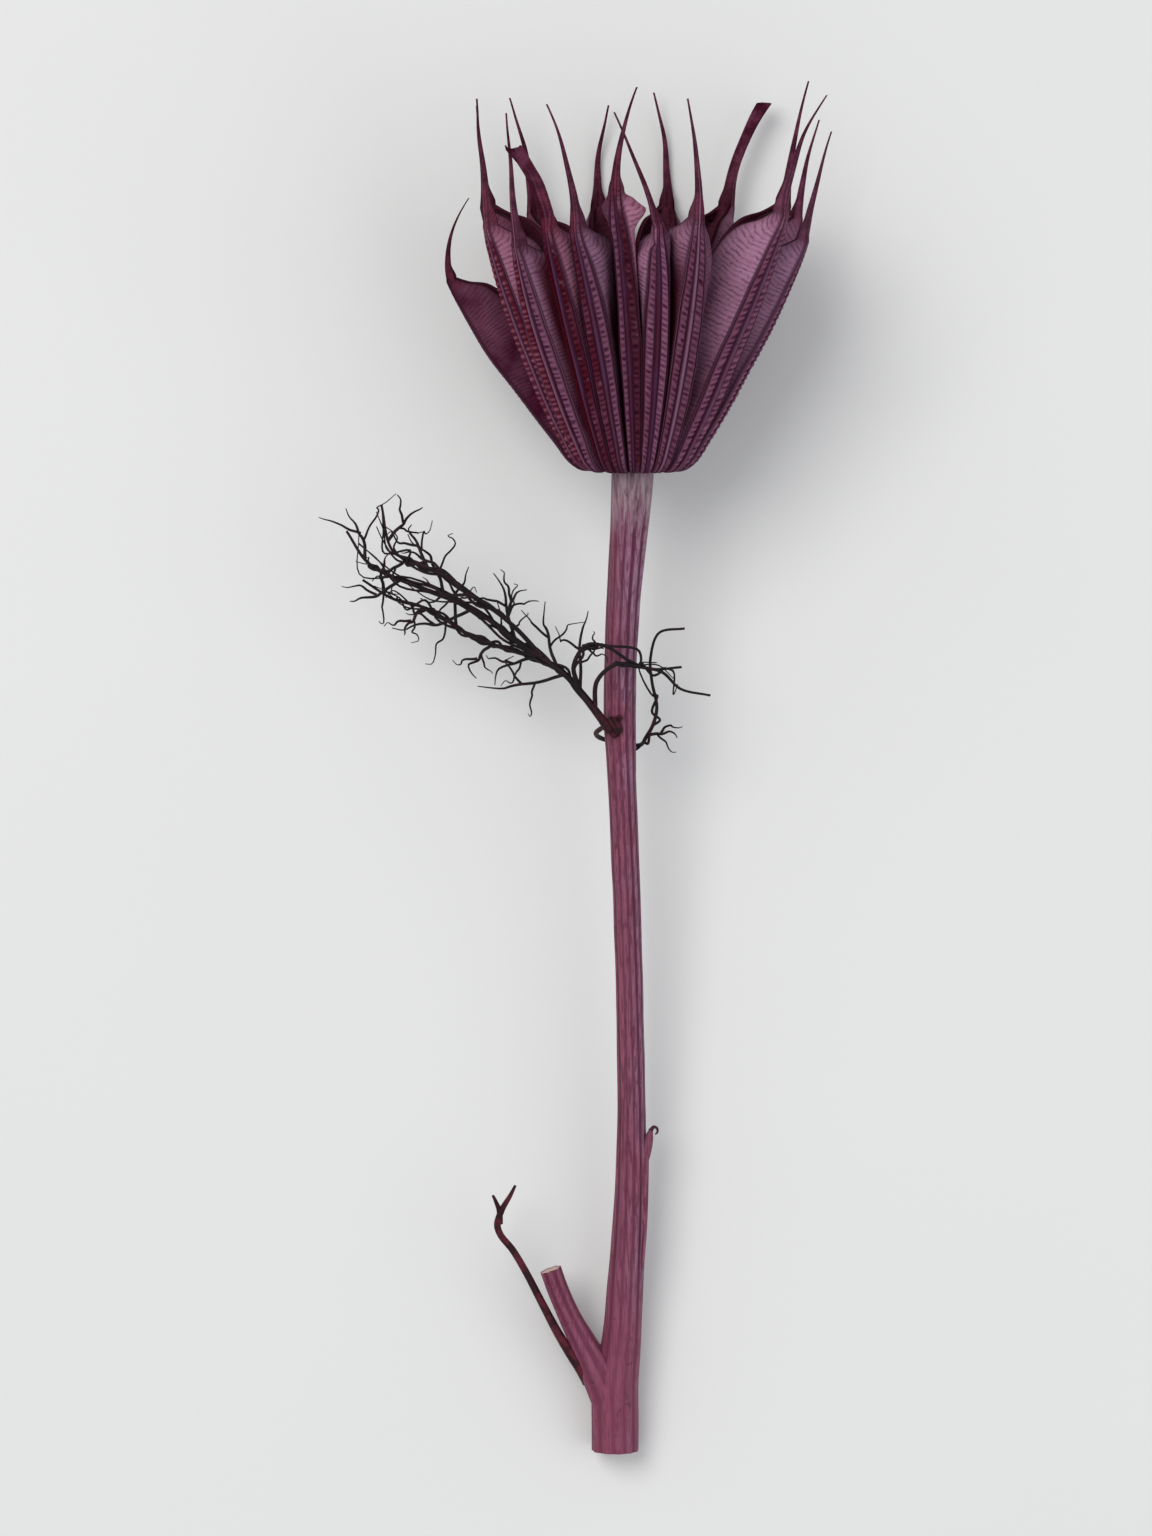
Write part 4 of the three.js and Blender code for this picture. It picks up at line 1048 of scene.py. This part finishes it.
def stem_material():
    """The stem: dark grooves and pale ribs, lilac on the right as a painted highlight, redder at the fork and
    dry under the pod.
    """
    n = Nodes("stem_skin")
    height, up = n.value("height"), n.value("up")
    broad = n.noise(0.12)
    streak = n.noise(3.2, 4.0, stretch=(1, 0.06, 1))
    fine = n.noise(9.0, stretch=(1, 0.15, 1))
    long_lines = n.noise(5.0, 2.0, stretch=(1, 0.015, 1))

    groove = n.blend(n.range(broad, 0.35, 0.65), rgb(84, 30, 50), rgb(76, 38, 60))
    # Ribs turn lilac with noise and towards the top, and on the right side as a painted highlight.
    lilac_and_highlight = n.line(broad, 1.6, n.line(n.value("around"), 0.5, -0.8))
    lilac_and_highlight = n.math("ADD", lilac_and_highlight, n.range(up, -34.0, -5.0, 0.0, 0.5))
    rib = n.blend(n.range(lilac_and_highlight, -0.1, 0.8), rgb(134, 74, 94), rgb(144, 106, 130))
    dry = n.blend(n.range(streak, 0.35, 0.65), rgb(110, 84, 92), rgb(162, 140, 148))

    colour = n.blend(n.range(height, 0.25, 0.78), groove, rib)
    for share, layer in (
        (n.range(streak, 0.42, 0.62, 0, 0.5), rgb(108, 56, 78)),
        (n.times(n.range(long_lines, 0.5, 0.57), 0.6), rgb(84, 34, 54)),
        (n.times(n.range(up, -72.0, -86.0), 0.5), rgb(128, 60, 84)),
        (n.times(n.range(n.line(streak, 5.0, up), -4.5, 0.6), 0.85), dry),
        (n.times(n.range(n.noise(0.9, 2.0), 0.66, 0.72), 0.4), rgb(70, 34, 48)),
        (n.value("pith"), n.blend(fine, rgb(150, 118, 112), rgb(222, 204, 190))),
        (n.value("scar"), rgb(52, 20, 28)),
    ):
        colour = n.blend(share, colour, layer)
    colour = n.mottled(colour, fine, 0.75, 1.2)

    rough = n.line(streak, 0.25, 0.4)
    relief = n.math("ADD", n.times(streak, 0.6), n.times(fine, 0.3))
    return n.finish(colour, rough, relief, 0.08 * MM, specular=0.15, sheen=0.04)


def leaf_material(name, dark, light, foot):
    """A leaf of two tones, with another colour at its foot."""
    n = Nodes(name)
    blotch = n.noise(0.8)
    grain = n.noise(8.0)
    colour = n.blend(n.range(blotch, 0.4, 0.65), dark, light)
    foot = n.blend(n.range(n.noise(1.7), 0.42, 0.58, 0, 0.8), foot, dark)
    colour = n.blend(n.times(n.value("near"), 0.8), colour, foot)
    return n.finish(colour, n.line(grain, 0.3, 0.4), n.math("ADD", grain, blotch), 0.06 * MM, specular=0.2)


def floor_piece():
    """The pale ground that the pod lies on."""
    mesh = bpy.data.meshes.new("floor")
    corners = [(x * FLOOR_HALF, y * FLOOR_HALF, 0) for x, y in ((-1, -1), (1, -1), (1, 1), (-1, 1))]
    mesh.from_pydata(corners, [], [(0, 1, 2, 3)])
    n = Nodes("floor_paint")
    grain = n.noise(0.02, 2.0)
    tone = n.blend(grain, (0.71, 0.708, 0.695, 1), (0.732, 0.73, 0.717, 1))
    mesh.materials.append(n.finish(tone, 0.9, grain, 0.0, specular=0.1))
    floor = into_scene("floor", mesh)


def area_light(name, place, size, power, colour):
    """A round light that faces the origin."""
    light = bpy.data.lights.new(name, "AREA")
    light.shape = "DISK"
    light.size = size
    light.energy = power
    light.color = colour
    lamp = into_scene(name, light)
    lamp.location = place
    lamp.rotation_euler = (-Vector(place)).to_track_quat("-Z", "Y").to_euler()


def set_lights():
    """A soft key light from the upper left, a weaker one from the right, and a pale sky."""
    area_light("key", (-0.36, 0.3, 0.84), 0.62, 4.9, (1.0, 0.985, 0.96))
    area_light("fill", (0.6, -0.2, 0.6), 0.8, 1.8, (0.94, 0.97, 1.0))
    world = bpy.data.worlds.new("studio")
    world.use_nodes = True
    background = world.node_tree.nodes["Background"]
    background.inputs["Color"].default_value = (0.93, 0.95, 1.0, 1.0)
    background.inputs["Strength"].default_value = 0.58
    bpy.context.scene.world = world


def set_camera():
    """Looks down on the lying pod, so that its side shows and its mouth only just does."""
    camera = bpy.data.cameras.new("camera")
    camera.sensor_fit = "VERTICAL"
    camera.sensor_height = 36
    camera.lens = CAMERA_LENS
    camera.clip_start = 0.01
    view = into_scene("camera", camera)
    back = Vector((0, -math.sin(CAMERA_LEAN), math.cos(CAMERA_LEAN)))
    view.location = Vector(CAMERA_TARGET) + CAMERA_DISTANCE * back
    view.rotation_euler = (CAMERA_LEAN, 0, 0)
    bpy.context.scene.camera = view


set_camera()
set_lights()
floor_piece()
skin = pod_material()
for number in range(len(FOLLICLES)):
    follicle_piece(number, skin)
core_piece(skin)
stem_piece(stem_material())
upper_leaf_piece(leaf_material("leaf_dark", rgb(14, 6, 9), rgb(34, 13, 19), rgb(68, 9, 29)))
fork_leaf_piece(leaf_material("leaf_red", rgb(40, 8, 18), rgb(86, 24, 38), rgb(86, 24, 38)))

scene = bpy.context.scene
scene.view_settings.view_transform = "Standard"
scene.view_settings.look = "None"
